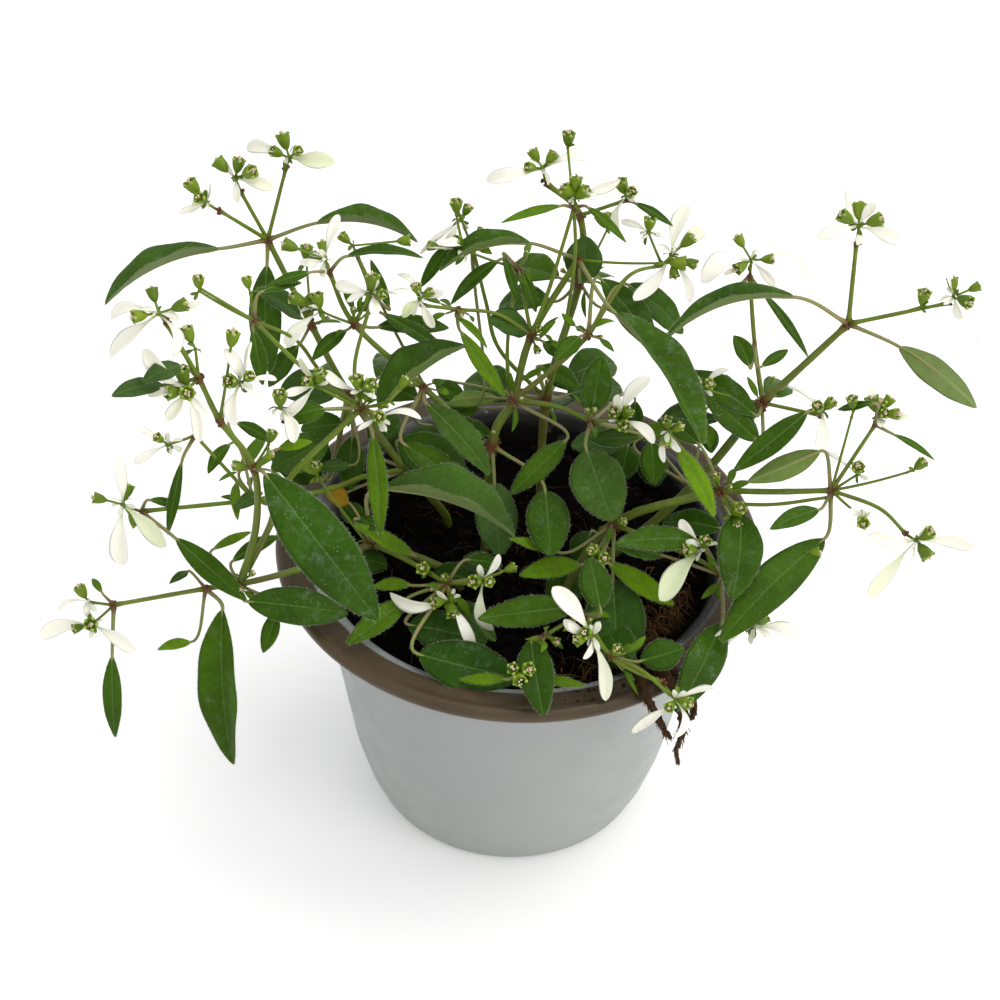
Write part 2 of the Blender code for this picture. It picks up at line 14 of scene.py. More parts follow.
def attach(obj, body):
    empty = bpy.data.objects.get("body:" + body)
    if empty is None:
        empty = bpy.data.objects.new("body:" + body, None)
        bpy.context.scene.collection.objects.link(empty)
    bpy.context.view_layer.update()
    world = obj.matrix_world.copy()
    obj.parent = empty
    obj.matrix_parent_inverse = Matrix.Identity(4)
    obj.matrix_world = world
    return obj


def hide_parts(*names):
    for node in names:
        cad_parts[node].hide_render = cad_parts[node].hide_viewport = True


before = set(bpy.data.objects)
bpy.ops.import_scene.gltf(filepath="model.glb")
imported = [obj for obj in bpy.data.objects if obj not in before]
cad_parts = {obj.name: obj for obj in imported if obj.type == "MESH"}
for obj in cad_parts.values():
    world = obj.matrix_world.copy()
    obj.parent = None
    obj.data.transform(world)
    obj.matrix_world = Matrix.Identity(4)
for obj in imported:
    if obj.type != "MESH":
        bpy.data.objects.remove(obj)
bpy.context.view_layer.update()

MM = 0.001  # one millimetre in metres
UPRIGHT = (0, 0, 1)

# ---- pot and soil, mm ----
POT_HEIGHT = 89.0
RIM_RADIUS = 65.0
RIM_INNER_RADIUS = 57.0  # where the painted band ends and the bare ledge starts
MOUTH_RADIUS = 54.0
BASE_RADIUS = 40.5
WALL = 1.6
FLOOR = 2.4
BEAD_HEIGHT = 3.8
FOOT_EDGE = 2.6  # radius of the rounded edge of the underside
COLLAR_Z = 76.0
BAND_Z = 88.3
LEDGE_Z = 86.6
# radius and height of points on the underside, and up the outside of the tapered side
FOOT_RING = ((0, 0.9), (20, 0.9), (33.4, 0.9), (34.2, 0.6), (34.6, 0.12), (35.2, 0), (37.6, 0))
SIDE = ((46.0, 20), (49.0, 42), (51.8, 62))
POT_COLUMNS = 180
SOIL_Z = 79.0
SOIL_CROWN = 2.0
SOIL_RADIUS = 51.9
SOIL_REACH = 50.5  # no fibre passes this radius
CRUMB_REACH = 50.4
SOIL_COLUMNS = 150
HEAP = (33, -30)  # where the soil is heaped up
HEAP_HEIGHT = 3.5
FIBRE_PATCH = (35, -28)  # where most of the fibres lie
PATCH_SHARE = 0.78
FIBRE_REACH = 46  # the middle of a fibre stays within this radius
CRUMBS = 1400
FIBRES = 620
FIBRE_STEPS = 7
TUFT_FIBRES = 130  # along each strand of the tuft
RIM_CRUMBS = 110
RIM_CRUMB_TURNS = (-62, 11)  # middle and spread of the side where they lie, degrees
CLEAN_LIT_SIDE = (-0.6, -0.8)  # the side where the inner wall above the soil is clean and has no painted shade

# ---- plant, mm ----
FACE = (0.0, -0.45, 0.9)  # the light that most leaves turn their upper face to
SHADED_BELOW = 85  # painted shade: leaves are coloured darkest under this height, and the painted shade fades out 35 mm above it
SHADED_WITHIN = 55  # and only within this distance of the pot's axis
STEM_SIDES = 12
STEM_STEPS = 9  # samples between two joints
STEM_GIRTH = 0.88  # a finished stem is this much of its solid's radius
SWELL = 0.45  # how much thicker a stem is at a joint
SWELL_REACH = 1.2
BLUSH_REACH = 1.7  # how far the red of a joint runs along the stem
HAIRY_REACH = 3.2  # how far a joint's own hairs run along the stem
JOINT_HAIRS = 70
STEM_HAIRS = 60
JOINT_KNOBS = 5
HAIR_RADIUS = 0.024
STALK_SIDES = 8
PETIOLE_STEPS = 12
PETIOLE_HAIRS = 30
MARGIN_HAIRS = 12  # for each mm of a blade's length
HEAD_STALK_STEPS = 14
CUP_DEPTH = 3.3
CUP_RADIUS = 1.4
CUP_COLUMNS = 15
LEAF_REACH = 0.99  # a blade's length, as a part of the distance from its base to its tip

# ---- joints of the stems, mm ----
JOINTS = {
    "centre_foot": (-9, 2, 71.5), "centre_low": (-8, 5, 115), "centre_mid": (-3, 10, 126),
    "centre_high": (1, 18, 141), "centre_top": (12, 28, 158), "top_mid": (10, 25, 175),
    "top_small": (-3, 29, 154), "arm": (-18, 14, 151), "arm_tip": (-26, 8, 156), "fork": (15, 12, 146),
    "fork_flower": (33, 24, 160), "mid_right": (17, 4, 125), "nook_low": (-26, 4, 134),
    "nook": (-43, 6, 151), "nook_high": (-49, 9, 164), "nook_back": (-43, 17, 164),
    "back_foot": (6, 22, 71.5), "back_low": (6, 24, 116), "back_mid": (13, 34, 147),
    "back_high": (12, 36, 166), "back_top": (3, 38, 174), "back_side": (23, 31, 174),
    "back_left": (-15, 34, 157), "left_foot": (-20, 12, 71.5), "left_bend": (-46, 14, 123),
    "left_mid": (-56, 22, 139), "left_high": (-67, 30, 159), "left_high_a": (-77, 22, 172),
    "left_high_b": (-73, 31, 172), "left_high_c": (-62, 35, 177), "low_foot": (-16, -12, 71.5),
    "low_first": (-38, -13, 95), "low_rim": (-56, -27, 98), "low_fork": (-70, -32, 97),
    "low_outer": (-78, -34, 97), "low_end": (-100, -40, 96), "side_bend": (-50, -11, 111),
    "side_fork": (-67, -18, 113), "side_high": (-81, -14, 130), "side_end": (-94, -25, 114),
    "front_knot": (-18, -30, 98), "near_low": (-63, -36, 139), "near_mid": (-70, -35, 152),
    "near_high": (-73, -38, 166), "near_top": (-78, -41, 183), "middle_low": (-57, -25, 126),
    "middle": (-40, -12, 139), "middle_left": (-66, -4, 158), "middle_flower": (-38, 1, 162),
    "right_foot": (13, -9, 71.5), "right_low": (25, -7, 89), "right_mid": (60, 4, 133),
    "right_back": (55, 22, 159), "right_high": (79, 10, 154), "right_high_a": (78, 14, 175),
    "right_high_b": (101, 6, 164), "right_arm": (73, -4, 136), "east_foot": (10, -22, 71.5),
    "east_low": (24, -13, 105), "east_mid": (50, -12, 117), "east_far": (77, -15, 121),
    "east_flower_a": (85, -12, 140), "east_flower_b": (94, -28, 119), "south_east": (51, -26, 101),
    "south_east_tip": (59, -38, 95), "south_mid": (16, -38, 97), "south_knot": (7, -46, 97),
    "south": (23, -52, 97), "south_tip": (35, -60, 97), "south_left": (2, -54, 94),
    "left_rise": (-31, 9, 102), "right_rise": (44, -2, 109), "nook_turn": (-40, 13, 156),
    "right_turn": (57, 12, 146),
}

# joints that only shape a stem's route, with no swelling
PLAIN_JOINTS = {
    "centre_foot", "back_foot", "left_foot", "low_foot", "right_foot", "east_foot", "low_rim",
    "side_bend", "middle_low", "right_low", "left_rise", "right_rise", "nook_turn", "right_turn",
}

# joints with young growth
SPRIG_JOINTS = (
    "centre_low", "centre_mid", "centre_high", "top_small", "arm", "fork", "mid_right", "nook_low",
    "nook", "back_low", "back_mid", "back_left", "left_bend", "left_mid", "low_first", "low_fork",
    "side_fork", "front_knot", "near_low", "middle", "right_mid", "east_low", "east_mid", "south_east",
    "south_mid", "south_knot", "south",
)

# ---- stems, mm: for each shoot its runs, as (radius at the start, radius at the end, route) ----
SHOOTS = {
    "shoot_centre": (
        (1.6, 0.9, ("centre_foot", "centre_low", "centre_mid", "centre_high", "centre_top")),
        (0.7, 0.5, ("centre_high", (5, 22, 153), "top_mid")),
        (0.6, 0.5, ("centre_high", (-8, 17, 148), "arm", "arm_tip")),
        (0.6, 0.5, ("centre_high", "top_small")),
        (0.9, 0.5, ("centre_mid", (7, 10, 137), "fork", (24, 19, 159), "fork_flower")),
        (0.8, 0.6, ("centre_mid", (8, 7, 127), "mid_right")),
    ),
    "shoot_back": (
        (1.4, 0.8, ("back_foot", "back_low", "back_mid", "back_high", "back_top")),
        (0.6, 0.5, ("back_high", "back_side")),
        (0.7, 0.5, ("back_low", (-7, 25, 131), (-11, 29, 143), "back_left")),
    ),
    "shoot_left_high": (
        (1.4, 0.8, ("left_foot", (-20, 12, 83), "left_rise", "left_bend", "left_mid", "left_high")),
        (0.9, 0.6, ("left_rise", (-41, 1, 106), "side_bend", "side_fork", "side_end")),
        (0.6, 0.5, ("side_fork", "side_high")),
        (0.6, 0.5, ("left_high", "left_high_a")),
        (0.6, 0.5, ("left_high", "left_high_b")),
        (0.6, 0.5, ("left_high", "left_high_c")),
    ),
    "shoot_nook": (
        (1, 0.6, ((-12, 4, 118), "nook_low", "nook", "nook_high")),
        (0.6, 0.5, ("nook", "nook_turn", "nook_back")),
    ),
    "shoot_left_low": (
        (1.5, 1.2, ("low_foot", (-16, -12, 82.5), (-26, -11.5, 89), "low_first")),
        (1.1, 0.6, ("low_first", "low_rim", "low_fork", "low_outer", "low_end")),
        (0.8, 0.6, ("low_first", (-27, -22, 97), "front_knot")),
    ),
    "shoot_near": (
        (1.1, 0.6, ((-69, -32.5, 99.5), (-64, -34, 119), "near_low", "near_mid", "near_high", "near_top")),
    ),
    "shoot_middle": (
        (1, 0.8, ((-68, -30, 100), (-62, -28, 113), "middle_low", "middle")),
        (0.7, 0.5, ("middle", (-53, -9, 147), "middle_left")),
        (0.6, 0.5, ("middle", (-42, -5, 147), "middle_flower")),
        (0.5, 0.4, ("middle_left", (-77, -10, 171))),
    ),
    "shoot_right_high": (
        (1.7, 1.3, ("right_foot", (13, -9, 82.5), "right_low", "right_rise", "right_mid")),
        (1.2, 0.9, ("right_mid", "right_high")),
        (0.7, 0.5, ("right_high", "right_high_b")),
        (0.7, 0.6, ("right_mid", "right_turn", "right_back")),
        (0.7, 0.6, ("right_high", "right_high_a")),
        (0.6, 0.5, ("right_mid", "right_arm")),
    ),
    "shoot_east": (
        (1.6, 1.2, ("east_foot", (10.5, -21.5, 83), "east_low", "east_mid")),
        (1, 0.8, ("east_mid", (63, -14, 119), "east_far")),
        (0.6, 0.5, ("east_far", "east_flower_a")),
        (0.6, 0.5, ("east_far", (88, -21, 121), "east_flower_b")),
        (0.8, 0.6, ("east_low", (37, -20, 105), "south_east", "south_east_tip")),
    ),
    "shoot_south": (
        (0.9, 0.6, ((12, -25.5, 84), "south_mid", "south", "south_tip")),
        (0.6, 0.5, ("south_mid", "south_knot", "south_left")),
    ),
    # thin stems between them
    "stem_centre_thin": ((0.6, 0.5, ((-4, 11, 124), (-5, 19, 139), "top_small")),),
    "stem_east_twin": ((0.6, 0.5, ((51, -14, 114.5), (63, -16, 116.5), (76, -16, 119.5))),),
    "stem_back_thin": ((0.6, 0.5, ((5, 25, 112), (9, 22, 136), (11, 24, 160), "top_mid")),),
    "stem_left_thin": (
        (0.6, 0.5, ((-45, 13, 121), (-52, 6, 136), (-57, 0, 150), "middle_left")),
    ),
    "stem_nook_thin": ((0.5, 0.4, ((-25, 5, 132), (-33, 14, 142), "nook_back")),),
    "stem_south_twin": ((0.5, 0.5, ("south", (30, -57, 98), (37, -63, 96))),),
}

# ---- leaves, mm and degrees ----
# (name, joint, base of the blade, tip, width, fullness: 0 narrow, 1 round, and where they aren't the usual
# ones the arch of the midrib, the fold of each half and the turn about the midrib)
LEAVES = (
    ("left_high_out", "left_high", (-78, 22, 161), (-104, 4, 155), 14, 0.5, 3, 38, 42),
    ("left_high_down", "left_high", (-67, 26, 154), (-66, 12, 130), 8.5, 0.5, 2),
    ("left_high_in", "left_high", (-54, 26, 167), (-28, 22, 165), 12, 0.4, 3, 40, -40),
    ("left_mid", "left_mid", (-58, 19, 143), (-68, 12, 156), 7, 0.5, 1, 20),
    ("side_low", "side_end", (-85, -30, 110), (-67, -38, 97), 6, 0.4, 2),
    ("low_end", "low_end", (-101, -45, 83), (-101, -54, 62), 5, 0.4),
    ("low_hanging", "low_outer", (-73, -40, 96), (-70, -60, 60), 14, 0.5, 3, 30, 30),
    ("low_inner", "low_fork", (-67, -38, 97), (-42, -36, 92), 10, 0.6, 2, 10),
    ("side_large", "near_low", (-60, -39, 140), (-33, -53, 107), 14.5, 0.5, 3, 10),
    ("nook_high", "nook_high", (-45, 10, 168), (-26, 12, 167), 5, 0.3, 1.5, 30, -25),
    ("middle_down", "middle", (-37, -16, 134), (-34, -34, 117), 5, 0.4),
    ("middle_right", "middle", (-36, -9, 136), (-15, 10, 143), 18, 0.5, 2, 50, -38),
    ("centre_low", "nook_low", (-25, 1, 131), (-8, -11, 118), 9, 0.4, 1, 25, -15),
    ("arm", "arm", (-17, 13, 145), (-5, 6, 130), 4.4, 0.4),
    ("low_folded", "low_first", (-34, -22, 122), (-1, -27, 112), 21, 0.5, 3, 52, -38),
    ("centre_ovate", "centre_low", (-7, -2, 108), (-5, -16, 95), 11, 0.9),
    ("centre_tan", "centre_mid", (11, 3, 119), (-3, -10, 111), 6.5, 0.4),
    ("mid_right_round", "mid_right", (16, -4, 122), (23, -20, 112), 14, 0.9, 1, 8),
    ("east_round", "centre_low", (6, -10, 113), (8, -25, 104), 11, 0.9, 1, 10),
    ("east_bright", "east_low", (22.5, -25.5, 103), (40, -29, 92.5), 5.8, 0.4),
    ("east_large", "east_low", (24, -26, 98), (26, -44, 84), 15.5, 0.9, 1, 8),
    ("south_left", "south_mid", (14, -40, 101.5), (-10, -43, 99), 8, 0.5, 1, 12),
    ("south_hanging", "south_knot", (3.5, -47.5, 97), (7, -67, 91), 9, 0.5, 2),
    ("south_broad", "front_knot", (-24, -48, 91), (1, -52, 88), 13, 0.6, 1, 10),
    ("front_left", "front_knot", (-28, -33, 95), (-42, -47, 92), 6.5, 0.4),
    ("top_folded", "centre_top", (0, 30, 161), (-23, 20, 158), 11, 0.4, 3, 50, 35),
    ("fork_large", "centre_top", (21, 8, 156), (42, -27, 143), 16, 0.5, 3, 42, -34),
    ("fork_back", "fork", (25, 25, 153), (41, 27, 137), 9, 0.5),
    ("right_folded", "right_high", (64, 6, 164), (33, 0, 154), 10, 0.5, 4, 52, 35),
    ("right_out", "right_high", (91, 4, 152), (110, -8, 143), 8, 0.5, -2, 15, 180),
    ("right_mid", "right_mid", (59, -4, 127), (44, 5, 136), 8, 0.6),
    ("right_arm", "right_arm", (69, -8, 140), (51, -19, 129), 6.2, 0.4),
    ("east_far_down", "east_far", (76, -22, 111), (49, -48, 99), 10.5, 0.5, 2, 8),
    ("east_mid_dark", "east_mid", (55, -17, 114), (52, -41, 107), 11.5, 0.7, 2, 12),
    ("south_east", "south_east", (51, -37, 95), (39, -63, 90), 9.5, 0.5, 2, 12),
    # smaller leaves between them
    ("left_dark", "left_mid", (-59, 18, 135), (-67, 14, 124), 6, 0.3),
    ("left_round", "left_bend", (-49, 12, 127), (-62, 2, 132), 11, 0.8, 1, 10),
    ("near_grey", "near_high", (-80, -42, 167), (-89, -52, 171), 4.8, 0.5, 1, 10),
    ("near_grey_back", "near_high", (-76, -40, 171), (-83, -48, 172), 5, 0.5, 1, 10),
    ("left_narrow_up", "middle_left", (-64, -2, 165), (-55, 4, 164), 3, 0.3, 1, 10),
    ("left_narrow_down", "middle_left", (-66, -6, 157), (-64, -10, 143), 4, 0.3, 1, 20),
    ("side_narrow", "side_high", (-84, -18, 125), (-88, -26, 107), 3, 0.2),
    ("side_tiny", "side_end", (-92, -24, 117), (-85, -20, 111), 2.5, 0.2, 0.5),
    ("end_tiny", "low_end", (-103, -38, 98), (-107, -32, 97), 1.8, 0.2, 0.5),
    ("outer_up", "low_outer", (-83, -30, 99), (-86, -38, 102), 2.5, 0.3, 0.5),
    ("outer_down", "low_outer", (-81, -44, 88), (-88, -50, 91), 3, 0.3, 0.5),
    ("low_short", "low_fork", (-60, -38, 94), (-63, -45, 86), 4.5, 0.4, 0.5),
    ("low_back", "low_fork", (-72, -28, 101), (-61, -20, 103), 4, 0.4),
    ("low_back_thin", "low_fork", (-77, -26, 103), (-68, -20, 104), 2.5, 0.3, 0.5),
    ("fork_front", "side_fork", (-72, -14, 115), (-70, -26, 113), 2.6, 0.4, 1, 20),
    ("fork_up", "side_fork", (-73, -12, 126), (-78, -18, 121), 3.4, 0.4, 1, 20),
    ("fork_inner", "side_fork", (-71, -13, 118), (-64, -6, 126), 3.5, 0.3, 0.5),
    ("nook_front", "nook", (-45, 6, 149), (-53, -2, 145), 4, 0.3),
    ("nook_back", "nook", (-43, 10, 152), (-38, 14, 152), 3, 0.3, 0.5),
    ("nook_narrow", "nook_turn", (-37, 14, 149), (-19, 8, 141), 4, 0.2),
    ("nook_up", "nook_turn", (-35, 15, 150), (-40, 20, 161), 3, 0.3, 0.5),
    ("nook_out", "nook_high", (-53, 4, 167), (-62, 0, 166), 3, 0.3, 0.5),
    ("nook_dark", "nook", (-38, 12, 146), (-20, 20, 141), 6, 0.4, 1, 20),
    ("middle_out", "middle", (-48, -18, 143), (-58, -24, 143), 6, 0.4),
    ("near_yellow", "near_low", (-58, -30, 140), (-50, -28, 141), 3, 0.3, 0.5),
    ("nook_low", "nook_low", (-30, -6, 123), (-13, -14, 117), 7, 0.5),
    ("old_yellow", "low_first", (-45, -4, 101), (-51, -6, 107), 6, 0.6, 0.5, 10),
    ("first_small", "low_first", (-41, -18, 108), (-34, -22, 108), 4, 0.4, 0.5),
    ("first_bright", "low_first", (-27, -20, 98), (-42, -22, 110), 4.3, 0.4, 1, 20),
    ("mid_right_up", "mid_right", (17, 3, 128), (19, 12, 140), 8, 0.6),
    ("east_left", "east_low", (16, -20, 97), (0, -26, 98), 6, 0.3),
    ("east_thin", "east_low", (10, -20, 101), (-3, -22, 107), 3, 0.2, 0.5),
    ("south_thin_left", "south_left", (-2, -57, 93), (-14, -54, 89), 3, 0.2, 0.5),
    ("south_thin_right", "south_left", (5, -57, 93), (17, -61, 96), 2.6, 0.2, 0.5),
    ("front_round", "front_knot", (-27, -38, 91), (-7, -39, 87), 11, 0.8, 1, 8),
    ("front_small", "front_knot", (-27, -30, 97), (-37, -28, 94), 3.5, 0.3, 0.5),
    ("front_back", "front_knot", (-13, -23, 100), (-4, -18, 94), 4.5, 0.4, 0.5),
    ("back_left_out", "back_left", (-20, 32, 160), (-28, 24, 150), 4, 0.4, 1, 25),
    ("top_left", "top_small", (-8, 28, 157), (-20, 20, 148), 4, 0.3, 1, 20),
    ("top_middle", "top_small", (-7, 29, 158), (-2, 23, 146), 2.6, 0.4, 0.5, 20),
    ("top_right", "top_small", (-2, 28, 154), (2, 21, 146), 3.4, 0.4, 0.5, 20),
    ("top_round", "centre_top", (13, 27, 152), (14, 33, 162), 10, 0.8, 0.5),
    ("centre_round", "centre_high", (0, 20, 142), (-10, 15, 147), 9, 0.8, 0.5),
    ("tip_left", "top_mid", (7, 24, 176), (-8, 18, 174), 2.6, 0.2),
    ("tip_right", "top_mid", (13, 24, 176), (23, 16, 171), 2.6, 0.2),
    ("back_tip", "back_side", (25, 30, 174), (35, 26, 170), 2.6, 0.2, 0.5),
    ("fork_small", "fork", (13, 10, 147), (7, 2, 145), 5, 0.4, 0.5),
    ("right_back_left", "right_back", (52, 19, 158), (34, 8, 150), 3, 0.2),
    ("right_back_right", "right_back", (58, 18, 157), (70, 6, 146), 2.6, 0.2),
    ("right_curl_left", "right_turn", (55, 3, 145), (51, 9, 150), 5, 0.4, 1, 25),
    ("right_curl_right", "right_turn", (58, 3, 145), (65, 8, 147), 3, 0.3, 0.5, 20),
    ("right_inner", "right_mid", (58, 0, 132), (41, 11, 137), 8, 0.5, 1, 12),
    ("east_tip_up", "east_flower_a", (83, -14, 148), (76, -8, 141), 2.6, 0.2, 0.5),
    ("east_tip_out", "east_flower_a", (89, -14, 139), (99, -20, 136), 1.8, 0.2, 0.5),
    ("east_inner", "east_far", (73, -12, 131), (55, -18, 125), 6.5, 0.4, -1, 15, 180),
    ("east_olive", "east_far", (74, -19, 118), (61, -26, 117), 4.8, 0.4),
    ("mid_bright", (34, -13, 137), (37, -16, 134), (47, -28, 122), 5, 0.5, 1, 12),
    ("east_mid_back", "east_mid", (44, -5, 126), (36, 6, 125), 6, 0.4, 0.5),
    ("south_east_in", "south_east", (44, -22, 109), (23, -30, 114), 7, 0.4),
    ("south_east_low", "south_east", (36, -24, 105), (23, -29, 112), 4.5, 0.3, 0.5),
    ("south_small", "south", (30, -54, 98), (40.5, -51, 100), 8, 0.5, 0.5, 12),
    ("south_dark", "south_mid", (20, -44, 105), (17, -32, 111), 8, 0.5, 0.5, 12),
    ("side_grey", "side_fork", (-65, -20, 117), (-71, -24, 115), 4, 0.4, 0.5),
    ("near_dark", "near_low", (-70, -16, 136), (-62, -14, 129), 3.6, 0.4, 0.5),
    ("rim_far", "left_bend", (-55, 8, 98), (-67, 6, 109), 9, 0.5, 1, 12),
    ("rim_high", "left_bend", (-54, 16, 93), (-61, 21, 103), 10, 0.6, 1, 12),
    ("rim_grey", "left_bend", (-45, 4, 107), (-54, 2, 107), 4, 0.4, 0.5, 20),
    ("rim_down", "left_bend", (-45, 10, 112), (-45, 2, 100), 8, 0.5, 1, 20),
    ("rim_low", "left_rise", (-47, -1, 98), (-40, -8, 96), 6, 0.4, 0.5, 20),
    ("back_left_low", "left_rise", (-41, 20, 101), (-35, 33, 102), 9, 0.5, 1, 12),
    ("back_left_mid", "left_rise", (-32, 15, 101), (-21, 27, 102), 9, 0.5, 1, 12),
    ("back_folded", "nook_low", (-25, 22, 107), (-7, 16, 108), 8, 0.4, 1, 40, -25),
    ("back_pale", "back_low", (-7, 30, 111), (-23, 28, 110), 5, 0.4, -1, 15, 180),
    ("back_dark", "back_left", (-16, 30, 110), (-25, 37, 111), 5, 0.4, 0.5),
    ("back_middle", "back_low", (4, 32, 121), (15, 29, 116), 6, 0.4, 1, 20),
    ("back_grey", "right_mid", (48, 16, 123), (36, 20, 113), 5, 0.4),
    ("mid_grey", "mid_right", (30, 2, 122), (17, 4, 119), 5.5, 0.4, 0.5, 20),
    ("mid_dark", "mid_right", (30, 26, 115), (30, 21, 107), 5, 0.4, 0.5, 20),
    ("mid_fresh", "right_rise", (47, 6, 124), (48, 1, 120), 3.4, 0.4, 0.5, 20),
    ("mid_lower", "mid_right", (33, 4, 119), (34, -5, 112), 7, 0.5),
    ("fork_behind", "fork", (18, 24, 155), (33, 16, 139), 9, 0.5, 1, 20),
    ("curl", "arm", (-18, 12, 150), (-10, 6, 145), 2.6, 0.5, 1.5, 40),
    ("sprig", "centre_high", (3, 14, 143), (7, 15, 148), 2, 0.4, 0.5, 30),
    ("sprig_round", "centre_high", (4, 14, 142), (8, 12, 139), 3.4, 0.8, 0.5),
    ("node_tiny", "centre_mid", (-1, 12, 131), (5, 14, 134), 2, 0.4, 0.5, 30),
    ("behind_low", "back_low", (12, 34, 110), (28, 46, 104), 12, 0.5, 2),
    ("behind_left", "back_low", (-2, 34, 108), (-17, 47, 103), 13, 0.5, 2),
    ("behind_down", "back_low", (8, 32, 106), (10, 50, 96), 11, 0.6, 2, 20),
    ("behind_high", "back_mid", (14, 41, 144), (20, 57, 134), 11, 0.5, 2, 20),
    ("behind_side", "back_mid", (8, 42, 143), (-6, 56, 136), 11, 0.5, 2, 20),
    ("behind_right", "right_mid", (52, 14, 126), (48, 34, 116), 11, 0.5, 2),
    ("behind_far", "right_mid", (62, 12, 129), (70, 27, 122), 8, 0.4),
    ("behind_nook", "nook_low", (-32, 12, 130), (-38, 32, 122), 10, 0.5, 2),
    ("behind_bend", "left_bend", (-52, 22, 119), (-60, 38, 110), 11, 0.5, 2),
    ("behind_foot", "left_rise", (-36, 24, 96), (-42, 42, 95), 10, 0.6, 2),
    ("fill_olive", "left_bend", (-51, 8, 112), (-66, 2, 106), 11, 0.5),
    ("fill_left", "left_bend", (-47, 10, 116), (-59, 12, 112), 8, 0.5),
    ("fill_under", "left_bend", (-46, 18, 104), (-46, 8, 98), 8, 0.5),
    ("fill_large", "left_rise", (-33, 15, 107), (-14, 6, 101), 14, 0.6),
    ("fill_small", "back_low", (-12, 29, 108), (-21, 29, 106), 6, 0.5, 1, 20),
    ("fill_dark", "back_low", (-24, 33, 113), (-17, 29, 110), 6, 0.5),
    ("fill_high", "back_low", (5, 36, 118), (15, 32, 113), 7, 0.4, 1, 20),
    ("fill_grey", "mid_right", (28, 18, 108), (13, 18, 105), 9, 0.6, 1, 10),
    ("fill_flat", "right_mid", (53, 23, 112), (36, 24, 110), 6, 0.5, 1, 30),
    ("fill_hanging", "right_mid", (50, 26, 108), (52, 22, 101), 5, 0.5),
    ("fill_fresh", "right_rise", (31, 16, 110), (40, 19, 112), 5, 0.4, 1, 20),
    ("fill_deep", "right_rise", (35, 24, 100), (37, 15, 94), 9, 0.6),
    ("fill_behind", "mid_right", (29, 23, 102), (27, 14, 96), 8, 0.6),
    ("fill_east", "east_mid", (53, -4, 97), (38, 1, 94), 8, 0.5),
    ("fill_middle", "right_low", (19, -4, 94), (15, -13, 90), 8, 0.6),
    ("fill_pale", "front_knot", (-6, -13, 88), (-15, -10, 87), 7, 0.9),
    ("fill_south", "right_low", (18, -12, 88), (8, -23, 85), 11, 0.6),
    ("fill_west", "front_knot", (-12, -18, 88), (-22, -13, 86), 7, 0.6),
    ("fill_olive_low", "front_knot", (-15, -27, 89), (-5, -38, 86), 6, 0.5, 1, 25),
    ("fill_rim", "south_mid", (22, -34, 89), (28, -49, 90), 10, 0.6),
    ("fill_corner", "low_first", (-43, -16, 92), (-34, -15, 89), 7, 0.6),
    ("fill_back", "back_low", (12, 40, 112), (26, 52, 108), 12, 0.5, 2, 20),
    ("fill_back_left", "left_bend", (-40, 30, 116), (-34, 46, 108), 12, 0.5, 2, 20),
    ("fill_back_right", "right_mid", (56, 22, 118), (52, 38, 108), 11, 0.5, 2, 20),
    ("fill_nook", "nook_low", (-28, 14, 122), (-40, 26, 116), 9, 0.5, 2),
    ("fill_top", "back_mid", (6, 38, 138), (-8, 46, 130), 9, 0.5, 2, 20),
    ("fill_side", "back_mid", (20, 36, 138), (32, 44, 128), 9, 0.5, 2, 20),
)

# how young a leaf is, from 0, dark and mature, to 1, bright yellow-green; 2 is an old yellowed leaf.
# fork_front, low_back_thin and outer_down are set bright partly as painted light shining through them.
YOUTH_AND_LIGHT = {
    "fill_olive": 0.3, "fill_small": 0.4, "fill_fresh": 0.5, "fill_olive_low": 0.2, "arm": 0.9,
    "old_yellow": 2, "fork_front": 1, "low_back_thin": 1, "outer_down": 0.9, "fork_inner": 0.6,
    "mid_fresh": 0.8, "curl": 0.7, "sprig": 0.8, "node_tiny": 0.7, "back_pale": 0.5,
    "middle_down": 0.55, "east_bright": 1, "mid_bright": 1, "south_left": 0.3, "first_bright": 0.9,
    "front_small": 0.7, "south_thin_left": 0.8, "south_thin_right": 0.8, "east_left": 0.7,
    "east_thin": 0.8, "near_yellow": 1, "front_left": 0.4, "centre_tan": 0.3, "tip_left": 0.8,
    "tip_right": 0.6, "end_tiny": 0.6, "low_end": 0.2, "side_large": 0.13, "low_hanging": 0.3,
}

# how grey and pale a leaf is, from 0 to 1
GREYNESS = {
    "fill_grey": 0.8, "fill_flat": 0.8, "fill_pale": 0.9, "fill_olive_low": 0.6, "fill_olive": 0.3,
    "left_mid": 0.5, "side_grey": 0.6, "rim_grey": 0.7, "back_grey": 0.7, "mid_grey": 0.5,
    "centre_round": 0.5, "top_round": 0.7, "fork_inner": 0.4, "near_grey": 0.9, "near_grey_back": 0.9,
    "right_out": 0.5, "left_high_out": 0.35, "low_folded": 0.35, "centre_ovate": 0.7,
    "mid_right_round": 0.4, "right_folded": 0.3, "centre_low": 0.35, "left_round": 0.4,
}

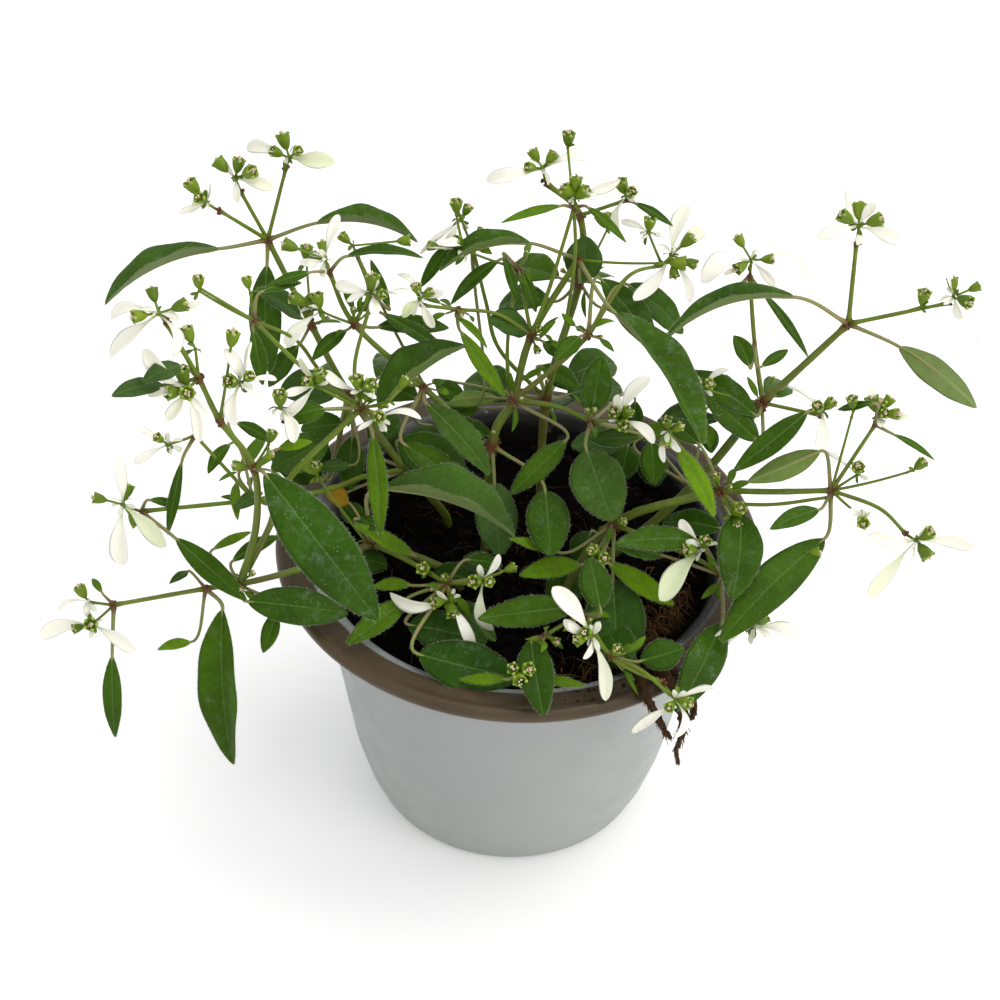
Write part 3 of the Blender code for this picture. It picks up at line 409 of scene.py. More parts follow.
# ---- flower heads, mm: (name, joint, centre, mouths of the cups, tips of the white bracts) ----
# Cups and bracts are offsets from the centre of the head.
HEADS = (
    ("flower_left_high_b", "left_high_b", (-74, 31, 176), ((-5, 3, 3), (1, 1, 5), (5, -3, 4)),
     ((10, -3, -1), (1, -5, -4))),
    ("flower_left_high_c", "left_high_c", (-61, 35, 180), ((-2, 3, 5), (-4, -2, 3), (3, -3, 4)),
     ((-11, 3, 1), (12, -5, 2))),
    ("flower_near_top", "near_top", (-79, -42, 186), ((-2, 4, 3.5), (-5, -3, 1), (6, 1, 2)),
     ((-11, 2, -3), (-11, -3, -10), (9, 3, 1), (3, -5, -8))),
    ("flower_side_end", "side_end", (-98, -26, 117), ((-7, 0, 2), (1, 4, 3), (4, -4, -3)),
     ((-1, 4, 13), (0, -8, -13), (11, -6, -8))),
    ("flower_low_end", "low_end", (-106, -41, 90), ((-4, -3, 1), (1, -4, 4)),
     ((-13, -2, -3), (12, -7, -2))),
    ("flower_back_top", "back_top", (2, 38, 178), ((-3, 2, 4), (3, 1, 4), (-4, -3, 2)),
     ((-14, -2, -3), (14, 4, 2))),
    ("flower_fork", "fork_flower", (35, 24, 163), ((5, 1, 5), (6, -4, 0), (1, -4, -4)),
     ((4, 8, 10), (8, 6, 4), (-9, -9, -8), (5, -9, -8))),
    ("flower_front", "front_knot", (-17, -35, 97), ((1, -4, -1), (-4, -3, 2)), ((-15, 1, 1), (6, -9, -8))),
    ("flower_right_high_a", "right_high_a", (78, 15, 179), ((0, 4, 4), (-5, 0, 3), (5, -1, 3)),
     ((-10, -3, -2), (10, -3, -2), (-4, 4, 8), (3, 1, 6))),
    ("flower_right_high_b", "right_high_b", (102, 6, 166), ((-1, 2, 4), (6, 2, 2), (3, -4, 1)),
     ((-4, 4, 8), (6, -8, -10), (2, -4, -4))),
    ("flower_east_far", "east_flower_b", (96, -30, 119), ((3, -4, -2), (3, -1, 4)),
     ((14, -2, 0), (-11, -9, -11), (-2, -8, -4), (-12, -1, 2))),
    ("flower_south", "south_tip", (38, -64, 96), ((3, -3, 2), (-2, -4, 1)),
     ((-10, -6, -6), (0, -7, -6), (9, 1, 3))),
    # more heads, and buds, between them
    ("flower_left_high_a", "left_high_a", (-80, 22, 174), ((-4, 0, 6), (-1, -4, 4)),
     ((-6, -4, -1), (-3, -3, 1), (1, 3, 4))),
    ("bud_left_far", "middle_left", (-77, -10, 170), ((0, 0, 4),)),
    ("bud_left_near", "middle_left", (-67, 0, 163), ((-1, 1, 4),)),
    ("flower_near_high", "near_mid", (-64, -38, 165), ((-2, -3, 3), (3, -2, 4)),
     ((3, 2, 10), (-3, 2, 8), (-1, -5, -8), (5, -2, -6), (8, 2, 0))),
    ("flower_near_mid", "near_high", (-75, -42, 166), ((-4, -3, 1), (1, -4, 2), (-1, 1, 5)),
     ((-9, 2, 9), (-4, -5, -5), (3, -6, -10), (-8, -3, 0), (5, -5, -3))),
    ("bud_near_high", "near_high", (-73, -38, 174), ((-2, 1, 5),)),
    ("bud_near_mid", "near_mid", (-66, -37, 171), ((1, 2, 6),)),
    ("flower_side_high", "side_high", (-87, -18, 130), ((-2, -2, 4),), ((-8, 2, 3), (-8, -4, -3))),
    ("flower_end_up", "low_end", (-107, -38, 95), ((-2, 1, 4),), ((-7, -3, -1),)),
    ("flower_nook_high", "nook_high", (-50, 10, 167), ((-10, 0, 4), (-3, 2, -1), (-1, 3, 3)),
     ((3, 6, 9), (-4, -4, 1), (-6, -2, 0))),
    ("bud_nook_back", "nook_back", (-44, 18, 166), ((-3, 0, 3), (14, 2, 1))),
    ("flower_middle_high", "middle_flower", (-38, 2, 163), ((0, 1, 3), (3, -3, 2)),
     ((-9, 2, 1), (11, -2, 0), (1, -8, -1), (-6, -2, -1))),
    ("flower_nook", "nook", (-51, 4, 156), ((-7, 0, 4), (-1, 1, 4), (-4, 2, 2)),
     ((-8, -6, -7), (-5, 0, -1))),
    ("flower_middle", "middle", (-40, -12, 144), ((-1, 0, 4), (3, -2, 4)), ((-9, 2, 4), (-4, 2, 4))),
    ("bud_middle", "middle", (-33, -14, 143), ((4, 4, 4),)),
    ("flower_middle_right", "middle", (-36, -16, 139), ((1, -3, 3),), ((11, -2, 2), (-4, -5, 0))),
    ("flower_middle_left", "middle", (-50, -18, 150), ((-2, -2, 3), (1, 0, 3)),
     ((-4, 4, 5), (-7, -4, 0), (-8, -6, -6))),
    ("flower_middle_low", "middle", (-58, -22, 146), ((0, 0, 4),), ((4, -8, -4),)),
    ("bud_near_low", "near_low", (-60, -31, 142), ((1, 1, 3),)),
    ("flower_front_right", "front_knot", (-9, -32, 102), ((8, 4, 1), (-2, -3, 2), (2, -3, 2)),
     ((4, 4, 5), (3, -6, -12))),
    ("bud_front", "front_knot", (-23, -27, 99), ((-1, -2, 3),)),
    ("flower_south_mid", "south", (18, -50, 102), ((-2, -2, 3), (-4, -3, 1)),
     ((-10, 6, 10), (-7, 2, 3), (-6, -1, 5), (-2, -5, -3), (4, -10, -12))),
    ("bud_south_left", "south_left", (1, -56, 95), ((-2, -2, 3), (0, -4, 1), (2, -2, 3))),
    ("flower_top_mid", "top_mid", (10, 26, 177), ((0, 2, 5), (-3, 0, 3), (3, -1, 3)),
     ((11, 3, 4), (6, -3, 2))),
    ("flower_back_side", "back_side", (23, 30, 176), ((-2, 0, 4), (1, -3, 3)), ((6, 1, -1), (-2, -6, -7))),
    ("flower_back_left", "back_left", (-18, 32, 166), ((-2, 2, 4), (2, 0, 4)),
     ((-4, -5, -6), (-10, -6, -7))),
    ("flower_top_small", "top_small", (-17, 26, 161), ((-2, -1, 3), (-9, -2, 2)),
     ((-9, -3, 2), (-6, -4, 4))),
    ("flower_arm", "arm_tip", (-27, 8, 158), ((-1, 0, 4), (3, -1, 3)),
     ((-6, 4, 4), (6, -1, 3), (4, -5, -5), (-4, -4, -3))),
    ("flower_fork_back", "fork_flower", (29, 26, 168), ((0, 0, 4),), ((-7, 2, 2),)),
    ("flower_mid_right", "mid_right", (24, 0, 129), ((-2, -2, 4), (2, 0, 3), (1, -4, 1)),
     ((7, 5, 10), (9, -4, -4), (-1, 0, 8))),
    ("flower_east_mid", "east_mid", (35, -14, 137), ((-1, 0, 4), (-1, -3, -2), (3, 0, 2)),
     ((3, -4, -3), (-1, -6, -5))),
    ("flower_right_mid", "right_mid", (44, 4, 137), ((-2, -2, 3), (2, -2, 3)), ((7, 4, 3),)),
    ("flower_right_back", "right_back", (55, 23, 163), ((-4, 3, 5), (-4, -3, -1), (5, -2, 2)),
     ((-13, -8, -2), (-7, -4, -2), (14, -5, -2), (6, -5, -4))),
    ("bud_right_high", "right_high", (95, 7, 162), ((0, 0, 4),)),
    ("flower_right_arm", "right_arm", (73, -6, 139), ((-2, -2, 3), (2, 0, 3)), ((-9, 4, 4), (-1, -8, -6))),
    ("flower_east_up", "east_flower_a", (85, -12, 143),
     ((-2, 2, 4), (0, 0, 4), (3, 2, 4), (1, -3, 3), (4, -3, 3)), ((-3, 4, 5), (7, -3, 2), (0, -6, 1))),
    ("bud_east_inner", "east_far", (79, -12, 144), ((-1, 0, 4),)),
    ("bud_east_outer", "east_far", (95, -18, 131), ((2, 0, 3),)),
    ("flower_east_low", "east_far", (83, -14, 126), ((-1, -2, 4),), ((-10, 4, 4),)),
    ("flower_east_front", "east_far", (84, -24, 120), ((-1, -4, 2),), ((-4, 0, 3),)),
    ("flower_south_east", "south_east", (46, -24, 108), ((-5, -3, 2), (0, -1, 4)),
     ((-6, 6, 4), (-5, 0, 2), (-11, -12, -7))),
    ("bud_east_low", "east_mid", (53, -18, 114), ((1, -1, 3), (1, -4, 0))),
    ("bud_south_east", "south_east", (71, -26, 109), ((3, 0, 1),)),
    ("flower_south_east_tip", "south_east_tip", (59, -38, 95), ((-1, 0, 4), (3, 1, 3)),
     ((-14, -4, -4), (-11, -6, -2), (-1, -6, 0), (4, -5, 0), (11, 0, -2))),
    ("bud_east_first", "east_low", (20, -26, 106), ((-2, -1, 3), (1, -3, 2), (0, -4, -2))),
    ("bud_left_rim", (-39, -18, 100), (-52, -10, 115), ((0, 0, 4), (-2, 1, 2))),
    ("bud_fork_long", "centre_top", (34, 22, 162), ((4, 0, 0),)),
    ("bud_top_high", "top_mid", (8, 38, 184), ((0, 0, 4),)),
    ("bud_top_left", (-17, 26, 161), (-19, 26, 171), ((0, 0, 4),)),
    ("bud_behind", "back_mid", (20, 46, 156), ((1, 1, 4), (-2, 1, 3))),
    ("bud_behind_left", "left_mid", (-58, 34, 150), ((0, 1, 4), (2, 1, 2))),
)

# ---- camera, mm, and light ----
CAMERA_PLACE = (-5.4, -332.7, 392.2)
CAMERA_AIM = (-5.4, 12.9, 89.1)
CAMERA_ROLL = 2.23  # degrees
CAMERA_LENS = 60.36
FLOOR_SIZE = 80.0  # m
FLOOR_GLOW = 0.07  # makes up for what the floor takes in, so that it meets the sky without a line
SKY = 1.0
SKY_COLOUR = (0.995, 0.998, 1.0)
LAMP_AIM = (0, 0, 0.1)  # m
# name, place in m, size in m, power in W, colour
LAMPS = (
    ("top_light", (0.5, 0.2, 1.1), 1.0, 6.0, (1.0, 0.98, 0.95)),
    ("side_light", (1.1, -0.7, 0.7), 0.9, 5.5, (1.0, 0.99, 0.97)),
)

# ---- strands of the fibrous clump of peat that hangs over the rim, mm: (points, first radius, last) ----
TUFT = (
    (((32, -37, 84), (34, -46, 91), (37, -53.5, 91.8), (40, -58, 88), (41.5, -58.5, 83), (41.5, -58, 77)),
     1.8, 1.2),
    (((41.5, -58, 79), (41.5, -58, 74), (41, -58, 70), (42, -58, 66)), 0.7, 0.15),
    (((29, -41, 86), (30, -51, 91.4), (32, -58.5, 90), (34.5, -59, 85), (37, -58.5, 79), (39, -58, 75)),
     1.4, 0.6),
    (((35, -42, 88), (38, -50, 91.6), (42, -55, 89), (44, -56, 84), (44, -55.5, 80)), 1.3, 0.7),
)

# ---- colours ----
LEAF_DARK = (0.009, 0.04, 0.0003)
LEAF_YOUNG = (0.1, 0.2, 0.0004)
LEAF_GREY = (0.06, 0.115, 0.03)
LEAF_OLD = (0.3, 0.17, 0.008)
LEAF_VEIN = (0.09, 0.16, 0.035)
LEAF_EDGE = (0.17, 0.24, 0.11)
DUST = (0.3, 0.38, 0.3)
UNDER_DARK = (0.085, 0.125, 0.03)
UNDER_YOUNG = (0.15, 0.27, 0.02)
UNDER_GREY = (0.14, 0.175, 0.07)
UNDER_VEIN = (0.19, 0.25, 0.09)
STEM_OLD = (0.055, 0.095, 0.003)
STEM_YOUNG = (0.115, 0.19, 0.008)
STEM_STREAK = (0.13, 0.18, 0.015)
STEM_RUST = (0.1, 0.06, 0.012)
STEM_TAN = (0.15, 0.125, 0.045)
STEM_JOINT = (0.09, 0.024, 0.008)
PETIOLE_GREEN = (0.17, 0.22, 0.055)
PETIOLE_TAN = (0.25, 0.2, 0.09)
BRACT_WHITE = (0.82, 0.795, 0.69)
BRACT_GREEN = (0.42, 0.52, 0.2)
CUP_GREEN = (0.055, 0.11, 0.002)
CUP_YELLOW = (0.15, 0.225, 0.008)
GLAND_GREEN = (0.13, 0.22, 0.01)
GLAND_YELLOW = (0.33, 0.42, 0.08)
STAMEN_CREAM = (0.72, 0.64, 0.42)
STAMEN_PINK = (0.56, 0.4, 0.28)
HAIR_WHITE = (0.4, 0.47, 0.31)
HAIR_GREEN = (0.22, 0.3, 0.12)
PEAT_BLACK = (0.0015, 0.001, 0.0008)
PEAT_BROWN = (0.016, 0.009, 0.004)
COIR_DARK = (0.02, 0.009, 0.003)
COIR_GOLD = (0.2, 0.105, 0.035)
POT_GREY = (0.26, 0.278, 0.276)
POT_GREY_WARM = (0.29, 0.3, 0.282)
POT_SCUFF = (0.38, 0.38, 0.35)
BAND_DARK = (0.036, 0.024, 0.01)
BAND_LIGHT = (0.07, 0.048, 0.024)
FLOOR_WHITE = (0.93, 0.93, 0.93)
# dark colour of the inner wall: peat stain and painted shade
PEAT_STAIN_AND_SHADE = (0.006, 0.005, 0.004)
LEAF_TAN = (0.32, 0.2, 0.09)

# ---------------------------------------------------------------- shapes


def unit(vectors):
    """Vectors divided by their lengths."""
    return vectors / np.linalg.norm(vectors, axis=-1, keepdims=True)


def place_of(point):
    """A joint's name or a point, as an array in mm."""
    return np.array(JOINTS[point] if isinstance(point, str) else point, float)


def chance(name):
    """Random numbers that are the same each time for a piece of this name."""
    return np.random.default_rng(zlib.crc32(name.encode()))


def round_turns(number):
    """Even angles round a full turn."""
    return np.arange(number) * 2 * np.pi / number


def tones(first, second=0.0, third=0.0):
    """A tone for each ring of a grid, from three values that are numbers or one number for each ring."""
    return np.stack(np.broadcast_arrays(first, second, third), 1)[:, None]


def bumps(points, length, seed):
    """Smooth noise from about -1 to 1: the sum of nine sine waves of about this length, mm, each in its
    own random direction."""
    draw = np.random.default_rng(seed)
    waves = unit(draw.normal(size=(9, 3))) * (2 * np.pi / length) * draw.uniform(0.6, 1.7, (9, 1))
    starts = draw.uniform(0, 2 * np.pi, 9)
    return np.sin(points @ waves.T + starts).sum(-1) / 3


def smooth_route(points, per_span):
    """A Catmull-Rom curve through the points, with per_span samples on each span."""
    points = np.array([place_of(point) for point in points])
    ends = [2 * points[0] - points[1], *points, 2 * points[-1] - points[-2]]
    steps = np.arange(per_span)[:, None] / per_span
    spans = []
    for before, start, end, after in zip(ends, ends[1:], ends[2:], ends[3:]):
        pull_in = (end - before) / 2
        pull_out = (after - start) / 2
        rise = 3 * (end - start) - 2 * pull_in - pull_out
        settle = 2 * (start - end) + pull_in + pull_out
        spans.append(start + pull_in * steps + rise * steps**2 + settle * steps**3)
    return np.concatenate([*spans, points[-1:]])


def bow(start, leave, end, arrive, steps):
    """A cubic from start to end that leaves and arrives along the two given vectors."""
    t = np.linspace(0, 1, steps)[:, None]
    return (
        start * (2 * t**3 - 3 * t**2 + 1)
        + leave * (t**3 - 2 * t**2 + t)
        + end * (3 * t**2 - 2 * t**3)
        + arrive * (t**3 - t**2)
    )


def axes_along(route):
    """Two unit vectors across a route at each of its points: one from the world axis that the route
    follows least, the other square to it and to the route."""
    forward = unit(np.gradient(route, axis=0))
    least = np.eye(3)[np.abs(forward).max(0).argmin()]
    side = unit(least - (forward @ least)[:, None] * forward)
    return side, np.cross(forward, side)


def tube(route, radii, sides):
    """Rings round a route: point = route + radius * (cos a * side + sin a * up), with a radius for each
    ring, or for each point of each ring."""
    side, up = axes_along(route)
    turns = round_turns(sides)[:, None]
    radii = np.asarray(radii, float)
    radii = radii[:, None] if radii.ndim == 1 else radii
    around = np.cos(turns) * side[:, None] + np.sin(turns) * up[:, None]
    return route[:, None] + radii[..., None] * around


def turned(profile, place, axis, columns):
    """A section of (radius, height) points turned about an axis through a place."""
    radius, height = np.array(profile, float).T
    axis = unit(np.asarray(axis, float))
    least = np.eye(3)[np.abs(axis).argmin()]
    side = unit(least - axis.dot(least) * axis)
    turns = round_turns(columns)[:, None]
    around = np.cos(turns) * side + np.sin(turns) * np.cross(axis, side)
    return place + radius[:, None, None] * around + height[:, None, None] * axis


def ring_faces(rows, columns):
    """The quads of a grid whose last column joins its first, and the triangles that close its first and
    last rows at two more points, numbered after the grid's."""
    row, column = np.meshgrid(np.arange(rows - 1), np.arange(columns), indexing="ij")
    here, beside = row * columns + column, row * columns + (column + 1) % columns
    quads = np.stack([here, beside, beside + columns, here + columns], -1).reshape(-1, 4)
    spot = np.arange(columns)
    after = (spot + 1) % columns
    last = (rows - 1) * columns
    start = np.stack([after, spot, np.full(columns, rows * columns)], -1)
    end = np.stack([last + spot, last + after, np.full(columns, rows * columns + 1)], -1)
    return quads, np.concatenate([start, end])


def volume(points, triangles):
    """Six times the volume inside the triangles, the sum of a . (b x c): below zero if they face in."""
    a, b, c = (points[triangles[:, i]] - points.mean(0) for i in range(3))
    return np.einsum("ij,ij->i", a, np.cross(b, c)).sum()


class Skin:
    """The closed shapes of one piece, gathered before they become a mesh. Each point has two vectors:
    `spread`, its place on a blade (across from -1 to 1, along from 0 to 1, mm from the midrib), and
    `tone`, what varies from leaf to leaf or along a stem."""

    def __init__(self):
        self.points, self.spread, self.tone = [], [], []
        self.quads, self.triangles, self.quad_slots, self.triangle_slots = [], [], [], []
        self.finishes = []
        self.count = 0

    def slot(self, finish):
        """The finish's number on this piece."""
        if finish not in self.finishes:
            self.finishes.append(finish)
        return self.finishes.index(finish)

    def add(self, points, quads, triangles, slots, spread, tone):
        """Joins faces on these points. slots is one slot, or one for each quad and then each triangle."""
        number = len(points)
        slots = np.broadcast_to(slots, len(quads) + len(triangles))
        self.points.append(points)
        self.spread.append(np.broadcast_to(spread, (number, 3)))
        self.tone.append(np.broadcast_to(tone, (number, 3)))
        self.quads.append(quads + self.count)
        self.triangles.append(triangles + self.count)
        self.quad_slots.append(slots[: len(quads)])
        self.triangle_slots.append(slots[len(quads) :])
        self.count += number

    def shell(self, grid, finish, tone=(0, 0, 0), spread=(0, 0, 0), quad_slots=None):
        """Adds a grid of rings as a closed body, whichever way round its rings run. quad_slots is one
        slot for each quad, as an array of rows and columns."""
        rows, columns = grid.shape[:2]
        quads, triangles = ring_faces(rows, columns)
        points = np.concatenate([grid.reshape(-1, 3), [grid[0].mean(0), grid[-1].mean(0)]])
        halves = np.concatenate([quads[:, [0, 1, 2]], quads[:, [0, 2, 3]], triangles])
        if volume(points, halves) < 0:
            quads, triangles = quads[:, ::-1], triangles[:, ::-1]
        slots = np.full(len(quads) + len(triangles), self.slot(finish))
        if quad_slots is not None:
            slots[: len(quads)] = np.broadcast_to(quad_slots, (rows - 1, columns)).ravel()
        vectors = []
        for values in (spread, tone):
            values = np.broadcast_to(np.asarray(values, float), (rows, columns, 3))
            caps = [values[0].mean(0), values[-1].mean(0)]
            vectors.append(np.concatenate([values.reshape(-1, 3), caps]))
        self.add(points, quads, triangles, slots, *vectors)

    def leaf(self, made, tone):
        """Adds a blade with a leaf's two sides."""
        slots = np.where(made.under, self.slot("leaf_under"), self.slot("leaf_upper"))
        self.shell(made.grid, "leaf_upper", tone, made.spread, slots)

    def stamp(self, pattern, places, matrices, finish, tone=(0, 0, 0)):
        """Adds a copy of a closed pattern (points, quads, triangles) for each place and 3 x 3 matrix:
        point = place + matrix * pattern point."""
        points, quads, triangles = pattern
        made = places[:, None] + np.einsum("nij,pj->npi", matrices, points)
        steps = np.arange(len(places))[:, None, None] * len(points)
        tone = np.repeat(np.broadcast_to(tone, (len(places), 3)), len(points), 0)
        quads, triangles = (quads + steps).reshape(-1, 4), (triangles + steps).reshape(-1, 3)
        self.add(made.reshape(-1, 3), quads, triangles, self.slot(finish), (0, 0, 0), tone)

    def piece(self, name, slot, node=None):
        """The mesh object, riding on the part's one body, in place of the node if there is one."""
        quads, triangles = np.concatenate(self.quads), np.concatenate(self.triangles)
        points = np.concatenate(self.points) * MM
        corners = np.concatenate([quads.ravel(), triangles.ravel()])
        totals = np.repeat([4, 3], [len(quads), len(triangles)])
        slots = np.concatenate([*self.quad_slots, *self.triangle_slots])
        mesh = bpy.data.meshes.new(name)
        mesh.vertices.add(len(points))
        mesh.vertices.foreach_set("co", points.ravel().astype(np.float32))
        mesh.loops.add(len(corners))
        mesh.loops.foreach_set("vertex_index", corners.astype(np.int32))
        mesh.polygons.add(len(totals))
        for label, values in (
            ("loop_start", np.cumsum(totals) - totals), ("loop_total", totals), ("material_index", slots),
        ):
            mesh.polygons.foreach_set(label, values.astype(np.int32))
        mesh.update(calc_edges=True)
        mesh.shade_smooth()
        for label, values in (("spread", self.spread), ("tone", self.tone)):
            layer = mesh.attributes.new(label, "FLOAT_VECTOR", "POINT")
            layer.data.foreach_set("vector", np.concatenate(values).ravel().astype(np.float32))
        for finish in self.finishes:
            mesh.materials.append(FINISHES[finish])
        obj = bpy.data.objects.new(name, mesh)
        bpy.context.scene.collection.objects.link(obj)
        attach(obj, "root")
        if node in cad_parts:
            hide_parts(node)


def ball(rows, columns):
    """A unit ball as a closed pattern: rings at even angles from one pole to the other."""
    turns = np.linspace(0.12 * np.pi, 0.88 * np.pi, rows)
    grid = turned(np.stack([np.sin(turns), -np.cos(turns)], 1), np.zeros(3), UPRIGHT, columns)
    points = np.concatenate([grid.reshape(-1, 3), [(0, 0, -1), (0, 0, 1)]])
    return points, *ring_faces(rows, columns)


def needle():
    """A three-sided needle as a closed pattern: unit radius at its root, its tip at height 1."""
    turns = round_turns(3)
    foot = np.stack([np.cos(turns), np.sin(turns), 0 * turns], 1)
    sides = np.array([(0, 1, 3), (1, 2, 3), (2, 0, 3), (0, 2, 1)])
    return np.concatenate([foot, [(0, 0, 1)]]), np.zeros((0, 4), int), sides


BALL = ball(4, 7)
PEBBLE = ball(3, 6)
NEEDLE = needle()


def frames_to(directions, across, along):
    """Matrices that turn a pattern's Z to each direction, scaled by across and along."""
    directions = unit(directions)
    least = np.eye(3)[np.abs(directions).argmin(1)]
    side = unit(least - (directions * least).sum(1, keepdims=True) * directions)
    up = np.cross(directions, side)
    across = np.broadcast_to(across, len(directions))[:, None]
    along = np.broadcast_to(along, len(directions))[:, None]
    return np.stack([side * across, up * across, directions * along], 2)


def add_hairs(skin, roots, directions, length, draw):
    """Fine hairs that start at the roots, each leaning at random from its direction."""
    lean = unit(directions) + draw.normal(size=roots.shape) * 0.28
    lengths = length * draw.uniform(0.55, 1.2, len(roots))
    skin.stamp(NEEDLE, roots, frames_to(lean, HAIR_RADIUS, lengths), "hair")


# ---------------------------------------------------------------- pot and soil


def arc(radius, height, size, first, last, number):
    """Points of (radius, height) on an arc of this size round a centre, between two angles."""
    turns = np.radians(np.linspace(first, last, number))
    return [(radius + size * math.cos(a), height + size * math.sin(a)) for a in turns]


def beside(radius, height, offsets):
    """Points of (radius, height) at these offsets from one of them."""
    return [(radius + out, height + up) for out, up in offsets]


def make_pot():
    """The pot: a section turned about Z, from the middle of its underside up the outside, round the
    bead, over the painted band and the bare ledge, and down the inside to the floor."""
    bead = BEAD_HEIGHT / 2
    inner_bead = RIM_RADIUS - BEAD_HEIGHT
    foot = [*FOOT_RING, *arc(BASE_RADIUS - 2, FOOT_EDGE, FOOT_EDGE, -90, -8, 8)]
    known = [(BASE_RADIUS + 0.9, 3.4), (43.2, 8), *SIDE, (MOUTH_RADIUS - 0.4, COLLAR_Z)]
    heights = np.linspace(5, COLLAR_Z - 1.2, 26)
    side = list(zip(np.interp(heights, [z for _, z in known], [r for r, _ in known]), heights))
    lip = ((-0.42, -0.5), (-0.25, -0.1), (0.2, 0.3), (0.42, 0.8), (0.7, 4))
    collar = beside(MOUTH_RADIUS, COLLAR_Z, lip)
    collar += beside(MOUTH_RADIUS, POT_HEIGHT, ((1.2, -5.2), (2.2, -4.2), (4.5, -3.5)))
    collar += beside(inner_bead, POT_HEIGHT, ((-0.6, -3.1),))
    rolled = arc(RIM_RADIUS - bead, POT_HEIGHT - bead, bead, -125, 115, 22)
    band = beside(inner_bead, POT_HEIGHT, ((0.1, -0.75), (-0.9, -0.7)))
    band += beside(RIM_INNER_RADIUS, POT_HEIGHT, ((1.5, -0.75), (0.25, -0.8), (0, -0.95)))
    inside = beside(RIM_INNER_RADIUS, POT_HEIGHT, ((-0.2, -1.3), (-1.4, -1.9)))
    inside += beside(MOUTH_RADIUS, POT_HEIGHT, ((0.2, -2.6), (-0.9, -4)))
    inside += beside(MOUTH_RADIUS, COLLAR_Z, ((-1.4, 7), (-1.8, 2)))
    inside += [(radius - WALL, height) for radius, height in SIDE[::-1]]
    inside += [(BASE_RADIUS - WALL - 1, FLOOR), (18, FLOOR), (0, FLOOR)]
    profile = [*foot, *side, *collar, *rolled, *band, *inside]
    skin = Skin()
    plain, painted = skin.slot("pot_plastic"), skin.slot("pot_band")
    first = len(foot) + len(side) + len(collar) - 2
    last = len(profile) - len(inside) - 1
    rows = np.arange(len(profile) - 1)[:, None]
    slots = np.where((rows >= first) & (rows < last), painted, plain)
    grid = turned(profile, np.zeros(3), UPRIGHT, POT_COLUMNS)
    inner = (np.arange(len(profile)) >= last)[:, None]
    low = np.array([height for _, height in profile])[:, None] < POT_HEIGHT - 1.6
    # painted shade, partly peat stain: the inner wall is darkened on the side away from the clean lit
    # side, less at the top of the rim
    facing = grid[1, :, :2] @ np.array(CLEAN_LIT_SIDE) / np.linalg.norm(grid[1, :, :2], axis=1)
    stain_and_shade = 1 - np.clip((facing - 0.3) / 0.35, 0, 1)
    stained_and_shaded = inner * np.where(low, 1, 0.55) * stain_and_shade
    tone = np.stack(np.broadcast_arrays(inner, stained_and_shaded, 0.0), 2)
    skin.shell(grid, "pot_plastic", tone, quad_slots=slots)
    skin.piece("pot_finished", "pot_plastic", "pot")


def soil_height(x, y):
    """The soil's height, mm: a low crown with uneven waves and grains on it, heaped at one side."""
    flat = np.stack([x, y, 0 * x], -1)
    radius = np.hypot(x, y)
    crown = SOIL_CROWN * (1 - (radius / SOIL_RADIUS) ** 2)
    waves = 0.7 * bumps(flat, 30, 11) + 0.45 * bumps(flat, 11, 12) + 0.35 * bumps(flat, 4.5, 13)
    heap = HEAP_HEIGHT * np.exp(-((x - HEAP[0]) ** 2 + (y - HEAP[1]) ** 2) / 200)
    return SOIL_Z - 1 + crown + waves + heap + 0.2 * bumps(flat, 2.2, 14)


